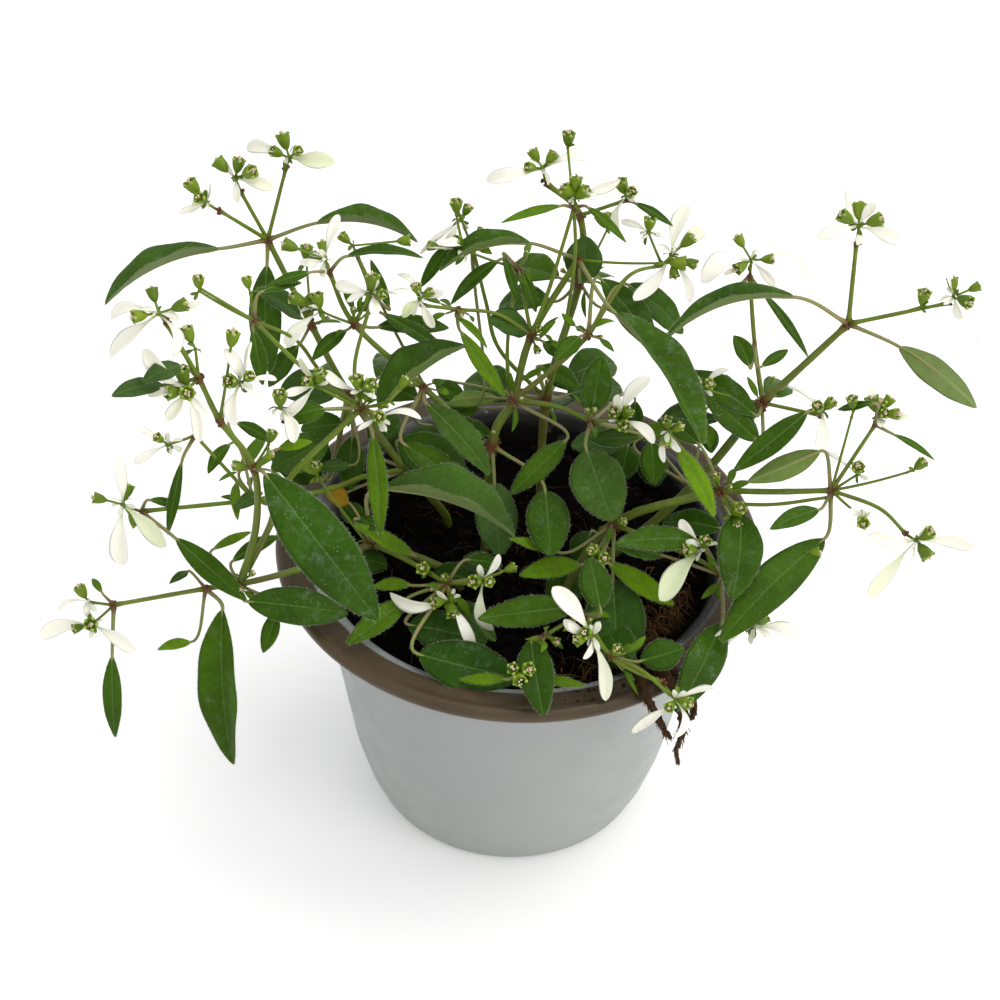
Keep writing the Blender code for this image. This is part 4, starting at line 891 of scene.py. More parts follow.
def make_soil():
    """The plug of peat, its uneven top, crumbs of many sizes, and coir fibres that lie on it."""
    draw = chance("soil")
    skin = Skin()
    sides = [(0, 3), (20, 3), (37.2, 3), (43.7, 20), (46.7, 42), (49.5, 62), (51.2, 74)]
    rings = SOIL_RADIUS * (1 - np.linspace(0, 1, 62)[:-1] ** 1.15)
    top = [(radius, SOIL_Z) for radius in rings]
    grid = turned([*sides, *top], np.zeros(3), UPRIGHT, SOIL_COLUMNS)
    surface = grid[len(sides) :]
    surface[..., 2] = soil_height(surface[..., 0], surface[..., 1])
    skin.shell(grid, "peat")
    skin.piece("peat_plug", "peat", "potting_soil")

    crumbs = Skin()
    radius = CRUMB_REACH * np.sqrt(draw.uniform(0, 1, CRUMBS))
    turn = draw.uniform(0, 2 * np.pi, CRUMBS)
    x, y = radius * np.cos(turn), radius * np.sin(turn)
    size = 0.45 + 1.5 * draw.uniform(0, 1, CRUMBS) ** 4
    places = np.stack([x, y, soil_height(x, y) + 0.25 * size], 1)
    matrices = frames_to(draw.normal(size=(CRUMBS, 3)), size, size * draw.uniform(0.5, 1.1, CRUMBS))
    matrices += draw.normal(size=(CRUMBS, 3, 3)) * 0.22 * size[:, None, None]
    turned_over = np.linalg.det(matrices) < 0
    matrices[turned_over] = matrices[turned_over][:, :, [1, 0, 2]]
    crumbs.stamp(PEBBLE, places, matrices, "peat", tones(draw.uniform(0, 1, CRUMBS) ** 3)[:, 0])
    crumbs.piece("peat_crumbs", "peat")

    fibres = Skin()
    for _ in range(FIBRES):
        in_patch = draw.uniform() < PATCH_SHARE
        middle = np.array(FIBRE_PATCH) if in_patch else np.zeros(2)
        spot = middle + draw.normal(size=2) * (11 if in_patch else 24)
        spot *= min(1, FIBRE_REACH / np.linalg.norm(spot))
        heading = draw.uniform(0, 2 * np.pi)
        length = draw.uniform(3, 11)
        reach = np.array((math.cos(heading), math.sin(heading))) * length
        bend = np.array((-reach[1], reach[0])) * draw.uniform(-0.4, 0.4)
        t = np.linspace(-0.5, 0.5, FIBRE_STEPS)[:, None]
        flat = spot + reach * t + bend * (0.25 - t**2) * 2
        flat *= np.minimum(1, SOIL_REACH / np.linalg.norm(flat, axis=1, keepdims=True))
        rise = draw.uniform(0.2, 3.2 if in_patch else 1.0)
        height = soil_height(flat[:, 0], flat[:, 1])[:, None] + 0.25 + rise * (0.25 - t**2) * 4
        radii = draw.uniform(0.09, 0.24) * np.linspace(1, 0.4, FIBRE_STEPS)
        shade = draw.uniform(0, 1) if in_patch else draw.uniform(0, 0.35)
        fibres.shell(tube(np.concatenate([flat, height], 1), radii, 4), "coir", (shade, 0, 0))
    fibres.piece("coir_fibres", "coir")


def make_tuft():
    """The clump on the rim: each strand has a lumpy core and fibres that run along it and leave it near
    their ends; crumbs lie on the rim beside it."""
    draw = chance("tuft")
    skin = Skin()
    for points, first, last in TUFT:
        route = smooth_route(points, 8)
        radii = np.linspace(first, last, len(route))
        core = tube(route, radii * 0.8, 14)
        out = unit(core - route[:, None])
        lumps = 0.34 * bumps(core, 3.0, 31) + 0.22 * bumps(core, 1.2, 32)
        skin.shell(core + out * lumps[..., None] * radii[:, None, None], "coir", (0.1, 0, 0))
        for _ in range(TUFT_FIBRES):
            start = int(draw.integers(0, len(route) - 6))
            stop = min(len(route), start + int(draw.integers(6, 20)))
            spine = route[start:stop]
            t = np.linspace(0, 1, len(spine))[:, None]
            drift = draw.normal(size=(2, 3)) * (0.5, 0.5, 0.2) * radii[start]
            line = spine + drift[0] * (1 - t) + drift[1] * t**2 * 1.3
            line[:, 2] -= draw.uniform(0, 1.2) * t[:, 0] ** 3
            thick = draw.uniform(0.09, 0.3) * np.linspace(1, 0.3, len(line))
            shade = draw.uniform(0, 1) ** 2 * 0.6
            skin.shell(tube(line, thick, 4), "coir", (shade, 0, 0))
    turn = np.radians(draw.normal(*RIM_CRUMB_TURNS, RIM_CRUMBS))
    radius = draw.uniform(MOUTH_RADIUS, RIM_RADIUS - 3, RIM_CRUMBS)
    size = 0.12 + 0.5 * draw.uniform(0, 1, RIM_CRUMBS) ** 3
    height = np.where(radius < RIM_INNER_RADIUS, LEDGE_Z, BAND_Z) + 0.3 * size
    spots = np.stack([radius * np.cos(turn), radius * np.sin(turn), height], 1)
    skin.stamp(PEBBLE, spots, frames_to(draw.normal(size=(RIM_CRUMBS, 3)), size, size * 0.8), "coir")
    skin.piece("hanging_tuft", "coir", "peat_tuft")


# ---------------------------------------------------------------- stems


def make_shoot(name, runs):
    """A shoot: a ribbed tube along each run, which tapers and swells at its joints. Its radius is the
    run's, times 1 + SWELL * exp(-(distance to the joint / SWELL_REACH)^2)."""
    draw = chance(name)
    skin = Skin()
    for start, end, points in runs:
        route = smooth_route(points, STEM_STEPS)
        radii = STEM_GIRTH * np.linspace(start, end, len(route))
        knots = [p for p in points if isinstance(p, str) and p not in PLAIN_JOINTS]
        knots = np.array([place_of(knot) for knot in knots]).reshape(-1, 3)
        gap = np.linalg.norm(route[:, None] - knots[None], axis=2).min(1, initial=99.0)
        swell = np.exp(-((gap / SWELL_REACH) ** 2))
        blush = np.exp(-((gap / BLUSH_REACH) ** 2))
        ribs = 1 + 0.035 * np.cos(4 * round_turns(STEM_SIDES) + draw.uniform(0, 6))
        rough = 1 + 0.04 * bumps(route, 6, 41)
        grid = tube(route, (radii * (1 + SWELL * swell) * rough)[:, None] * ribs, STEM_SIDES)
        mellow = np.clip((1.3 - radii) / 0.8, 0, 1)
        tan = draw.uniform(0.1, 0.9) * np.linspace(1, 0.3, len(route))
        skin.shell(grid, "stem", tones(blush * np.clip(radii / 0.7, 0.5, 1), mellow, tan))
        near = np.flatnonzero(gap < HAIRY_REACH)
        if len(near):
            rows = draw.choice(near, JOINT_HAIRS)
            roots = grid[rows, draw.integers(0, STEM_SIDES, JOINT_HAIRS)]
            add_hairs(skin, roots, roots - route[rows], 0.9, draw)
        rows = draw.integers(0, len(route), STEM_HAIRS)
        roots = grid[rows, draw.integers(0, STEM_SIDES, STEM_HAIRS)]
        add_hairs(skin, roots, roots - route[rows], 0.5, draw)
        for knot, size in zip(knots, np.interp(np.linspace(0, 1, len(knots)), (0, 1), (start, end))):
            places = knot + unit(draw.normal(size=(JOINT_KNOBS, 3))) * size * 1.35
            skin.stamp(BALL, places, frames_to(places - knot, 0.42, 0.5), "stem", (1, 0, 0))
    skin.piece(name.replace("shoot", "stem"), "stem", name)


# ---------------------------------------------------------------- leaves and bracts


def leaf_frame(base, tip, turn):
    """The unit vectors along the midrib, out of the upper face and across the blade."""
    along = unit(tip - base)
    face = np.array(FACE)
    face = unit(face - face.dot(along) * along)
    across = np.cross(along, face)
    angle = math.radians(turn)
    face = face * math.cos(angle) + across * math.sin(angle)
    return along, face, np.cross(along, face)


def leaf_outline(v, fullness):
    """Half a leaf's width along it, as a part of its most: a sine that peaks before the middle, to a
    power that is lower for a fuller leaf."""
    return np.sin(np.pi * v**0.92) ** (0.95 - 0.4 * fullness)


def bract_outline(v, fullness):
    """Half a bract's width: a narrow claw over its first third, a spoon that is widest at 70%, and a
    blunt point."""
    claw = 0.2 - 0.08 * fullness
    rise = np.clip((v - 0.12) / (0.6 - 0.1 * fullness), 0, 1)
    spoon = claw + (1 - claw) * rise**1.5 * (2.5 - 1.5 * rise)
    end = np.clip((v - 0.66) / 0.34, 0, 1)
    return np.minimum(spoon, 1) * (1 - end ** (2.1 + fullness)) ** 0.6


# How a kind of blade is made: rows and columns of its grid, its outline, thickness in mm, sideways sway as
# a part of its length, twist in degrees, ripple of the margins and the number of its waves, how much each
# half is cupped, pairs of side veins, the swelling between them and the depth of the midrib's groove.
LEAF_LOOK = dict(
    outline=leaf_outline, thickness=0.45, sway=0.025, twist=14,
    ripple=0.045, waves=2.6, cupped=0.1, pairs=8, groove=0.14,
)
BRACT_LOOK = dict(
    rows=18, columns=9, outline=bract_outline, thickness=0.3, sway=0.12, twist=60,
    ripple=0.06, waves=1.4, cupped=-0.28, pairs=3, quilt=0.03, groove=0.05,
)
SCALE_LOOK = dict(
    rows=8, columns=5, outline=bract_outline, thickness=0.2, sway=0.05, twist=20,
    ripple=0, waves=1, cupped=-0.2, pairs=1, quilt=0, groove=0,
)
YOUNG_LOOK = dict(
    rows=10, columns=5, outline=leaf_outline, thickness=0.25, sway=0.06, twist=30,
    ripple=0.04, waves=1, cupped=0.1, pairs=4, quilt=0, groove=0.05,
)


def blade(
    base, tip, width, arch, fold, turn, fullness, draw, rows, columns, outline, thickness, sway, twist,
    ripple, waves, cupped, pairs, quilt, groove,
):
    """A blade as a closed grid of sections, from base to tip. Across each section, from the left margin
    over the upper side to the right one and back underneath, a point stands at
    middle + half * (u * out) + lift * up, where the lift adds up the fold, a V with a round bottom, the
    bow of each half, the ripple of the margins, the swelling between side veins and the groove of the
    midrib. Returns the grid, its spread, and the margins with the directions out of them."""
    v = (1 - np.cos(np.pi * np.linspace(0, 1, rows))) / 2 * 0.5 + np.linspace(0, 1, rows) * 0.5
    v = v[:, None]
    u = np.linspace(-1, 1, columns)
    u = np.sign(u) * np.abs(u) ** 1.1
    along, face, across = leaf_frame(base, tip, turn)
    length = np.linalg.norm(tip - base)
    half = width / 2 * outline(v, fullness) + 0.06
    swayed = sway * draw.uniform(-1, 1) * length
    middle = base + (tip - base) * v + face * arch * 4 * v * (1 - v)
    middle = middle + across * swayed * np.sin(np.pi * v)
    roll = math.radians(twist) * draw.uniform(-1, 1) * (v - 0.35)
    out = across * np.cos(roll) + face * np.sin(roll)
    up = face * np.cos(roll) - across * np.sin(roll)
    lift = math.radians(fold)
    valley = np.sqrt(u**2 + 0.012) - 0.11
    rippled = ripple * np.sin(2 * np.pi * (waves * v + 0.2 * np.sign(u)) + draw.uniform(0, 6))
    phase = pairs * v - 2.1 * np.abs(u) * width / max(length, 1)
    quilted = quilt * (np.abs(np.sin(np.pi * phase)) - 0.6) * (1 - u**4)
    rise = half * (valley * math.sin(lift) - cupped * u**2) + half * rippled * np.abs(u) ** 3
    rise = rise + quilted * np.minimum(1, half / 3)
    grooved = groove * np.exp(-((u * half / 0.45) ** 2)) * np.minimum(1, half / 1.5)
    thick = thickness / 2 * (1 - 0.7 * u**2) * np.minimum(1, half / 0.8)
    level = (half * u * math.cos(lift))[..., None] * out[:, None]
    upper = middle[:, None] + level + (rise + thick - grooved)[..., None] * up[:, None]
    lower = middle[:, None] + level + (rise - thick - 0.5 * grooved)[..., None] * up[:, None]
    margin = middle[:, None] + level[:, [0, -1]] + rise[:, [0, -1], None] * up[:, None]
    upper[:, [0, -1]] = margin
    around = np.concatenate([u, u[-2:0:-1]])
    outward = np.stack([-out, out], 1) * math.cos(lift) + up[:, None] * math.sin(lift)
    return SimpleNamespace(
        grid=np.concatenate([upper, lower[:, -2:0:-1]], 1),
        spread=np.stack(np.broadcast_arrays(around, v, half * around), 2),
        margin=margin,
        outward=outward + along * 0.45,
        middle=middle,
        up=up,
        under=np.arange(len(around)) >= columns - 1,
    )


def make_leaf(name, joint, base, tip, width, fullness, arch=1, fold=15, turn=0):
    """A leaf: its blade, its petiole, which runs on as the rib of the underside, and its hairs."""
    draw = chance(f"leaf_{name}")
    root, base, tip = place_of(joint), place_of(base), place_of(tip)
    tip = base + (tip - base) * LEAF_REACH
    length = np.linalg.norm(tip - base)
    large = min(1, length / 30)
    grid_size = dict(rows=int(14 + length), columns=15 if length > 14 else 9)
    made = blade(
        base, tip, width, arch, fold, turn, fullness, draw, quilt=0.1 * large, **grid_size, **LEAF_LOOK
    )
    # painted shade: a leaf low in the pot and near its axis gets a darker colour, unless its youth is
    # listed
    centre = (base + tip) / 2
    above = (centre[2] - SHADED_BELOW) / 35
    outside = (np.hypot(*centre[:2]) - SHADED_WITHIN) / 20
    lit = np.clip(max(above, outside), 0, 1)
    youth_and_light = YOUTH_AND_LIGHT.get(name, 0.06 * draw.uniform() + 0.04 + 0.18 * lit)
    grey = GREYNESS.get(name, 0.12 * draw.uniform())
    dust = draw.uniform(0.2, 1) * (length > 14) * (YOUTH_AND_LIGHT.get(name, 0) < 0.5)
    skin = Skin()
    skin.leaf(made, (youth_and_light, grey, dust))

    stalk = base - root
    reach = np.linalg.norm(stalk)
    forward = unit(made.middle[1] - made.middle[0])
    petiole = bow(root, stalk, base, forward * reach * 0.9, PETIOLE_STEPS)
    thick = 0.34 + 0.2 * large
    rib_rows = np.arange(1, int(len(made.middle) * 0.9))
    fade = np.linspace(0.8, 0.12, len(rib_rows)) * thick
    drop = fade * np.minimum(1, rib_rows / 6)
    route = np.concatenate([petiole, made.middle[rib_rows] - made.up[rib_rows] * drop[:, None]])
    radii = np.concatenate([np.linspace(thick * 1.15, thick * 0.85, PETIOLE_STEPS), fade])
    radii[:2] *= 1.25
    away = np.linalg.norm(route - root, axis=1)
    blush = 0.75 * np.exp(-((away / 2.6) ** 2))
    rod = tube(route, radii, STALK_SIDES)
    skin.shell(rod, "petiole", tones(blush + 0.2 * draw.uniform(0.1, 0.5), 0.9))

    if length > 9:
        count = int(length * MARGIN_HAIRS)
        rows = draw.integers(1, len(made.margin) - 1, count)
        sides = draw.integers(0, 2, count)
        step = draw.uniform(0, 1, (count, 1))
        roots = made.margin[rows, sides] * step + made.margin[rows - 1, sides] * (1 - step)
        add_hairs(skin, roots, made.outward[rows, sides], 0.35 + 0.3 * large, draw)
        spots = draw.integers(0, PETIOLE_STEPS, PETIOLE_HAIRS)
        roots = rod[spots, draw.integers(0, STALK_SIDES, PETIOLE_HAIRS)]
        add_hairs(skin, roots, roots - route[spots], 0.7, draw)
    skin.piece(f"leaf_blade_{name}", "leaf", f"leaf_{name}")


# ---------------------------------------------------------------- flower heads


def add_bract(skin, centre, reach, draw):
    """A white bract: a spoon-shaped blade that starts in the middle of its head."""
    length = np.linalg.norm(reach)
    width = length * draw.uniform(0.22, 0.36)
    arch = length * draw.uniform(-0.08, 0.25)
    turn = draw.uniform(-55, 55)
    fullness = draw.uniform(0, 1)
    start = centre + reach * 0.05
    made = blade(start, centre + reach, width, arch, 8, turn, fullness, draw, **BRACT_LOOK)
    skin.shell(made.grid, "bract", (draw.uniform(0, 1) ** 9, 0, 0), made.spread)


def add_cup(skin, centre, mouth, draw, scale=1.0):
    """A green cup on its stalk: a bell turned about its axis, with five glands round its mouth and a
    tuft of cream stamens in it."""
    length = np.linalg.norm(mouth)
    axis = mouth / length
    size = scale * draw.uniform(0.85, 1.25)
    depth = CUP_DEPTH * size
    foot = centre + axis * max(length - depth, 0.6)
    stalk = bow(centre, axis * 1.5, foot, axis * 1.5, 6)
    skin.shell(tube(stalk, np.linspace(0.26, 0.32, 6), 7), "stem", (0, 1, 0))
    part = np.array([0, 0.06, 0.2, 0.4, 0.6, 0.78, 0.9, 0.96, 0.93, 0.8, 0.7])
    swell = np.array([0.3, 0.42, 0.62, 0.82, 0.93, 0.98, 1.04, 0.96, 0.8, 0.72, 0.3]) * CUP_RADIUS * size
    bell = turned(np.stack([swell, part * depth], 1), foot, axis, CUP_COLUMNS)
    pleats = 1 + 0.05 * np.cos(5 * round_turns(CUP_COLUMNS))
    spine = foot + part[:, None] * depth * axis
    bell = spine[:, None] + (bell - spine[:, None]) * pleats[None, :, None]
    skin.shell(bell, "cup", (draw.uniform(0, 1), 0, 0))
    ring = turned([(0.92 * CUP_RADIUS * size, depth * 0.93)], foot, axis, 5)[0]
    skin.stamp(BALL, ring, frames_to(ring - foot, 0.42 * size, 0.3 * size), "gland")
    grains = int(draw.integers(4, 15))
    scatter = unit(draw.normal(size=(grains, 3))) * draw.uniform(0.2, 0.7, (grains, 1))
    spots = foot + axis * depth * 0.98 + scatter * size
    skin.stamp(BALL, spots, frames_to(np.tile(axis, (grains, 1)), 0.22, 0.34), "stamen")


def make_head(name, joint, centre, cups, bracts=()):
    """A flower head: a stalk, a knot with narrow green and white scales, its bracts and its cups."""
    draw = chance(name)
    skin = Skin()
    root, centre = place_of(joint), place_of(centre)
    stalk = centre - root
    reach = np.linalg.norm(stalk)
    if reach > 1:
        sag = np.array((0, 0, -0.1 * reach))
        route = bow(root, stalk + sag, centre, stalk - sag, HEAD_STALK_STEPS)
        gap = np.linalg.norm(route - root, axis=1)
        rod = tube(route, np.linspace(0.4, 0.3, HEAD_STALK_STEPS), STALK_SIDES)
        skin.shell(rod, "stem", tones(0.8 * np.exp(-((gap / 2) ** 2)), 0.9))
    knot = 0.75 if bracts else 0.5
    skin.stamp(BALL, centre[None], np.eye(3)[None] * knot, "stem", (0.15, 0.8, 0))
    for offset in bracts:
        add_bract(skin, centre, np.array(offset, float), draw)
    for offset in cups:
        add_cup(skin, centre, np.array(offset, float), draw)
    for _ in range(8 if bracts else 3):
        heading = unit(draw.normal(size=3) + np.array((0, -0.3, 0.3)))
        white = bool(bracts) and draw.uniform() < 0.5
        length = draw.uniform(2.4, 4.8) if white else draw.uniform(1.6, 3.4)
        wide = length * draw.uniform(0.25, 0.4)
        turn = draw.uniform(-60, 60)
        made = blade(centre, centre + heading * length, wide, 0.4, 10, turn, 0.5, draw, **SCALE_LOOK)
        skin.shell(made.grid, "bract" if white else "cup", (0.3, 0, 0), made.spread)
    kind = "head" if name.startswith("flower") else "cluster"
    skin.piece(f"{name}_{kind}", "bract", name)


def make_young_growth():
    """Young growth at the joints: for each, a few narrow leaves and a bud or two on short stalks, in
    random directions that lean up and to the front."""
    draw = chance("sprigs")
    leaves, buds = Skin(), Skin()
    for joint in SPRIG_JOINTS:
        root = place_of(joint)
        for _ in range(int(draw.integers(2, 5))):
            heading = unit(draw.normal(size=3) * (1, 0.9, 0.7) + (0, -0.2, 0.35))
            base = root + heading * draw.uniform(2, 4.5)
            away = unit(heading * 1.2 + draw.normal(size=3) * 0.4 - (0, 0, 0.25))
            tip = base + away * draw.uniform(3, 7.5)
            width = draw.uniform(0.9, 2.3)
            made = blade(base, tip, width, 0.6, 20, draw.uniform(-30, 30), 0.4, draw, **YOUNG_LOOK)
            leaves.leaf(made, (draw.uniform(0.45, 1), 0.1, 0))
            forward = unit(made.middle[1] - made.middle[0])
            stalk = bow(root, heading * 2, base, forward * 2, 6)
            leaves.shell(tube(stalk, np.full(6, 0.28), 6), "petiole", (0.3, 0.9, 0))
        for _ in range(int(draw.integers(1, 3))):
            heading = unit(draw.normal(size=3) * (1, 0.9, 0.6) + (0, -0.4, 0.7))
            add_cup(buds, root, heading * draw.uniform(3.2, 7), draw, draw.uniform(0.45, 0.8))
    leaves.piece("young_leaves", "leaf")
    buds.piece("young_buds", "bract")


# ---------------------------------------------------------------- finishes


class Value:
    """A node's output, which can be added to, subtracted from and multiplied by others and numbers."""

    def __init__(self, finish, socket):
        self.finish, self.socket = finish, socket

    def __add__(self, other):
        return self.finish.math("ADD", self, other)

    def __sub__(self, other):
        return self.finish.math("SUBTRACT", self, other)

    def __mul__(self, other):
        return self.finish.math("MULTIPLY", self, other)

    def __abs__(self):
        return self.finish.math("ABSOLUTE", self)


class Finish:
    """A Principled material and short ways to add nodes to it."""

    def __init__(self, name, roughness=0.5, **constants):
        self.material = bpy.data.materials.new(name)
        self.material.use_nodes = True
        self.tree = self.material.node_tree
        self.shader = self.tree.nodes["Principled BSDF"]
        self.shader.inputs["Roughness"].default_value = roughness
        for socket, value in constants.items():
            self.shader.inputs[socket.replace("_", " ")].default_value = value
        self.place = self.node("TexCoord", {}, "Object")

    def set(self, socket, value):
        """Puts a number, a colour or another node's output into a socket."""
        if isinstance(value, Value):
            self.tree.links.new(value.socket, socket)
        elif isinstance(value, tuple) and socket.type == "RGBA":
            socket.default_value = (*value, 1)
        else:
            socket.default_value = value

    def node(self, kind, inputs, output=0, **settings):
        """Adds a node. Its settings come before its inputs, because they change which inputs it has."""
        node = self.tree.nodes.new("ShaderNode" + kind)
        for name, value in settings.items():
            setattr(node, name, value)
        for key, value in inputs.items():
            self.set(node.inputs[key], value)
        return Value(self, node.outputs[output])

    def parts(self, vector):
        """The three parts of a vector."""
        first = self.node("SeparateXYZ", {0: vector})
        return [Value(self, output) for output in first.socket.node.outputs]

    def vector(self, name):
        """The three parts of a point's vector."""
        return self.parts(self.node("Attribute", {}, "Vector", attribute_name=name))

    def math(self, operation, *values):
        return self.node("Math", dict(enumerate(values)), operation=operation)

    def span(self, value, low, high, to_low=0.0, to_high=1.0):
        """The value carried smoothly from the range low..high to the range to_low..to_high."""
        values = dict(enumerate((value, low, high, to_low, to_high)))
        return self.node("MapRange", values, interpolation_type="SMOOTHSTEP")

    def noise(self, scale, detail=3.0, roughness=0.5):
        inputs = {"Vector": self.place, "Scale": scale, "Detail": detail, "Roughness": roughness}
        return self.node("TexNoise", inputs, "Fac")

    def patches(self, noise, *spans):
        """Soft-edged patches: noise with these settings, carried between ranges."""
        return self.span(self.noise(*noise), *spans)

    def cells(self, scale):
        """Distance to the nearest of scattered points, and a random number for that point."""
        distance = self.node("TexVoronoi", {"Vector": self.place, "Scale": scale}, "Distance")
        colour = Value(self, distance.socket.node.outputs["Color"])
        return distance, self.parts(colour)[0]

    def mix(self, share, first, second, kind="MIX"):
        inputs = {"Factor": share, "A": first, "B": second}
        return self.node("Mix", inputs, "Result", data_type="RGBA", blend_type=kind)

    def bump(self, height, distance, strength=1.0):
        inputs = {"Height": height, "Distance": distance * MM, "Strength": strength}
        self.set(self.shader.inputs["Normal"], self.node("Bump", inputs, "Normal"))

    def colour(self, value):
        self.set(self.shader.inputs["Base Color"], value)

    def rough(self, value):
        self.set(self.shader.inputs["Roughness"], value)


def veins(finish, across, along, width):
    """A line along each of nine side veins: the distance of 9 * along - 0.9 * |across| from a whole
    number, under the given width, fading towards the margin."""
    side = abs(across)
    near = finish.math("PINGPONG", along * 9.0 - side * 0.9, 0.5)
    return finish.span(near, 0.0, width, 1.0, 0.0) * finish.span(side, 0.45, 1.0, 1.0, 0.0)


def leaf_upper():
    """Upper side of a leaf: green that goes from dark to yellow-green with youth and where there is less
    painted shade, and to grey with paleness, mottled, with a pale midrib, faint side veins, a pale edge
    and specks of dust."""
    made = Finish("leaf_upper", 0.45, Specular_IOR_Level=0.08)
    across, along, offset = made.vector("spread")
    youth_and_light, grey, dust = made.vector("tone")
    green = made.mix(made.math("MINIMUM", youth_and_light, 1.0), LEAF_DARK, LEAF_YOUNG)
    green = made.mix(grey * 0.75, green, LEAF_GREY)
    green = made.mix(made.span(youth_and_light, 1.2, 2.0), green, LEAF_OLD)
    patches = made.patches((75, 2), 0.3, 0.7, 0.78, 1.18)
    shade = patches * made.patches((850, 2), 0.3, 0.7, 0.9, 1.1)
    tint = made.node("CombineXYZ", {0: shade, 1: shade, 2: shade})
    green = made.mix(1.0, green, tint, "MULTIPLY")
    side = veins(made, across, along, 0.09)
    green = made.mix(side * 0.1, green, LEAF_VEIN)
    rib = made.span(abs(offset), 0.05, 0.3, 1.0, 0.0)
    green = made.mix(rib * made.span(along, 0.0, 1.0, 0.65, 0.3), green, LEAF_VEIN)
    green = made.mix(made.span(abs(across), 0.93, 0.99, 0.0, 0.6), green, LEAF_EDGE)
    distance, pick = made.cells(1150)
    speck = made.span(distance, 0.06, 0.24, 1.0, 0.0) * made.math("GREATER_THAN", pick, 0.6)
    powder = speck * (made.patches((130, 2), 0.47, 0.62) * dust)
    film = made.patches((330, 6, 0.8), 0.5, 0.74) * dust * 0.24
    green = made.mix(film, green, DUST)
    near, rare = made.cells(170)
    blemish = made.span(near, 0.1, 0.2, 1.0, 0.0) * made.math("GREATER_THAN", rare, 0.975)
    green = made.mix(blemish * 0.8, green, LEAF_TAN)
    made.colour(made.mix(powder * 0.75, green, DUST))
    made.rough(made.patches((240, 3), 0.3, 0.7, 0.4, 0.55))
    made.bump(made.noise(1500, 2) * 0.5 - side * 0.35, 0.14, 0.6)
    return made.material


def leaf_under():
    """Underside of a leaf: the same green, paler and greyer, with a raised pale net of veins."""
    made = Finish("leaf_under", 0.6, Sheen_Weight=0.05, Sheen_Roughness=0.5, Specular_IOR_Level=0.12)
    across, along, offset = made.vector("spread")
    youth_and_light, grey, _ = made.vector("tone")
    green = made.mix(youth_and_light, UNDER_DARK, UNDER_YOUNG)
    green = made.mix(grey * 0.6, green, UNDER_GREY)
    green = made.mix(made.span(youth_and_light, 1.2, 2.0), green, LEAF_OLD)
    side = veins(made, across, along, 0.12)
    green = made.mix(side * 0.13, green, UNDER_VEIN)
    green = made.mix(made.span(abs(offset), 0.1, 0.6, 0.7, 0.0), green, UNDER_VEIN)
    made.colour(made.mix(made.patches((500, 3), 0.3, 0.7, 0.0, 0.22), green, UNDER_VEIN))
    made.bump(made.noise(1300, 2) + side * 0.4, 0.12, 0.6)
    return made.material


def stem():
    """Stem: olive green, paler where it is thin, tan in places, red-brown at the joints, with streaks."""
    made = Finish("stem", 0.42, Specular_IOR_Level=0.22)
    blush, mellow, tan = made.vector("tone")
    green = made.mix(mellow, STEM_OLD, STEM_YOUNG)
    green = made.mix(tan * made.patches((90, 3), 0.3, 0.65), green, STEM_TAN)
    green = made.mix(made.patches((420, 3), 0.35, 0.7, 0.0, 0.4), green, STEM_STREAK)
    green = made.mix(made.patches((160, 3), 0.4, 0.75, 0.0, 0.35), green, STEM_RUST)
    made.colour(made.mix(made.span(blush, 0.1, 0.95, 0.0, 0.95), green, STEM_JOINT))
    made.bump(made.noise(1600, 3), 0.12, 0.5)
    return made.material


def petiole():
    """Petiole: pale olive, tinged with red near the stem."""
    made = Finish("petiole", 0.45, Specular_IOR_Level=0.22)
    blush = made.vector("tone")[0]
    pale = made.mix(made.patches((350, 3), 0.3, 0.7), PETIOLE_GREEN, PETIOLE_TAN)
    made.colour(made.mix(made.span(blush, 0.05, 0.9, 0.0, 0.9), pale, STEM_JOINT))
    made.bump(made.noise(1500, 2), 0.1, 0.5)
    return made.material


def bract():
    """Bract: soft cream white, greenish at its narrow claw, with faint lengthwise veins."""
    made = Finish("bract", 0.55, Subsurface_Weight=0.25, Subsurface_Scale=0.0012, Sheen_Weight=0.1)
    made.shader.inputs["Subsurface Radius"].default_value = (1.0, 0.9, 0.6)
    across, along, _ = made.vector("spread")
    green = made.vector("tone")[0]
    white = made.mix(green * 0.85, BRACT_WHITE, BRACT_GREEN)
    white = made.mix(made.span(along, 0.0, 0.34, 0.75, 0.0), white, BRACT_GREEN)
    lines = made.math("SINE", across * 16.0)
    made.colour(made.mix(made.span(lines, 0.2, 1.0, 0.0, 0.07), white, BRACT_GREEN))
    made.bump(lines * 0.3 + made.noise(900, 3), 0.08, 0.4)
    return made.material


def cup():
    """Cup: fresh green, from mid green to yellow-green."""
    made = Finish("cup", 0.45, Specular_IOR_Level=0.25)
    green = made.mix(made.vector("tone")[0], CUP_GREEN, CUP_YELLOW)
    made.colour(made.mix(made.patches((700, 3), 0.35, 0.7, 0.0, 0.35), green, CUP_YELLOW))
    made.bump(made.noise(1400, 2), 0.1, 0.5)
    return made.material


def gland():
    """Gland: shining yellow-green, mottled."""
    made = Finish("gland", 0.35, Specular_IOR_Level=0.35)
    made.colour(made.mix(made.patches((900, 2), 0.35, 0.65), GLAND_GREEN, GLAND_YELLOW))
    made.bump(made.noise(1800, 2), 0.06, 0.4)
    return made.material


def stamen():
    """Stamen: matt cream, pink in places."""
    made = Finish("stamen", 0.6)
    made.colour(made.mix(made.patches((1100, 2), 0.35, 0.65), STAMEN_CREAM, STAMEN_PINK))
    made.bump(made.noise(2000, 2), 0.06, 0.5)
    return made.material


def hair():
    """Hair: from pale to green, with a soft sheen."""
    made = Finish("hair", 0.5, Sheen_Weight=0.3)
    made.colour(made.mix(made.noise(300, 1), HAIR_WHITE, HAIR_GREEN))
    return made.material


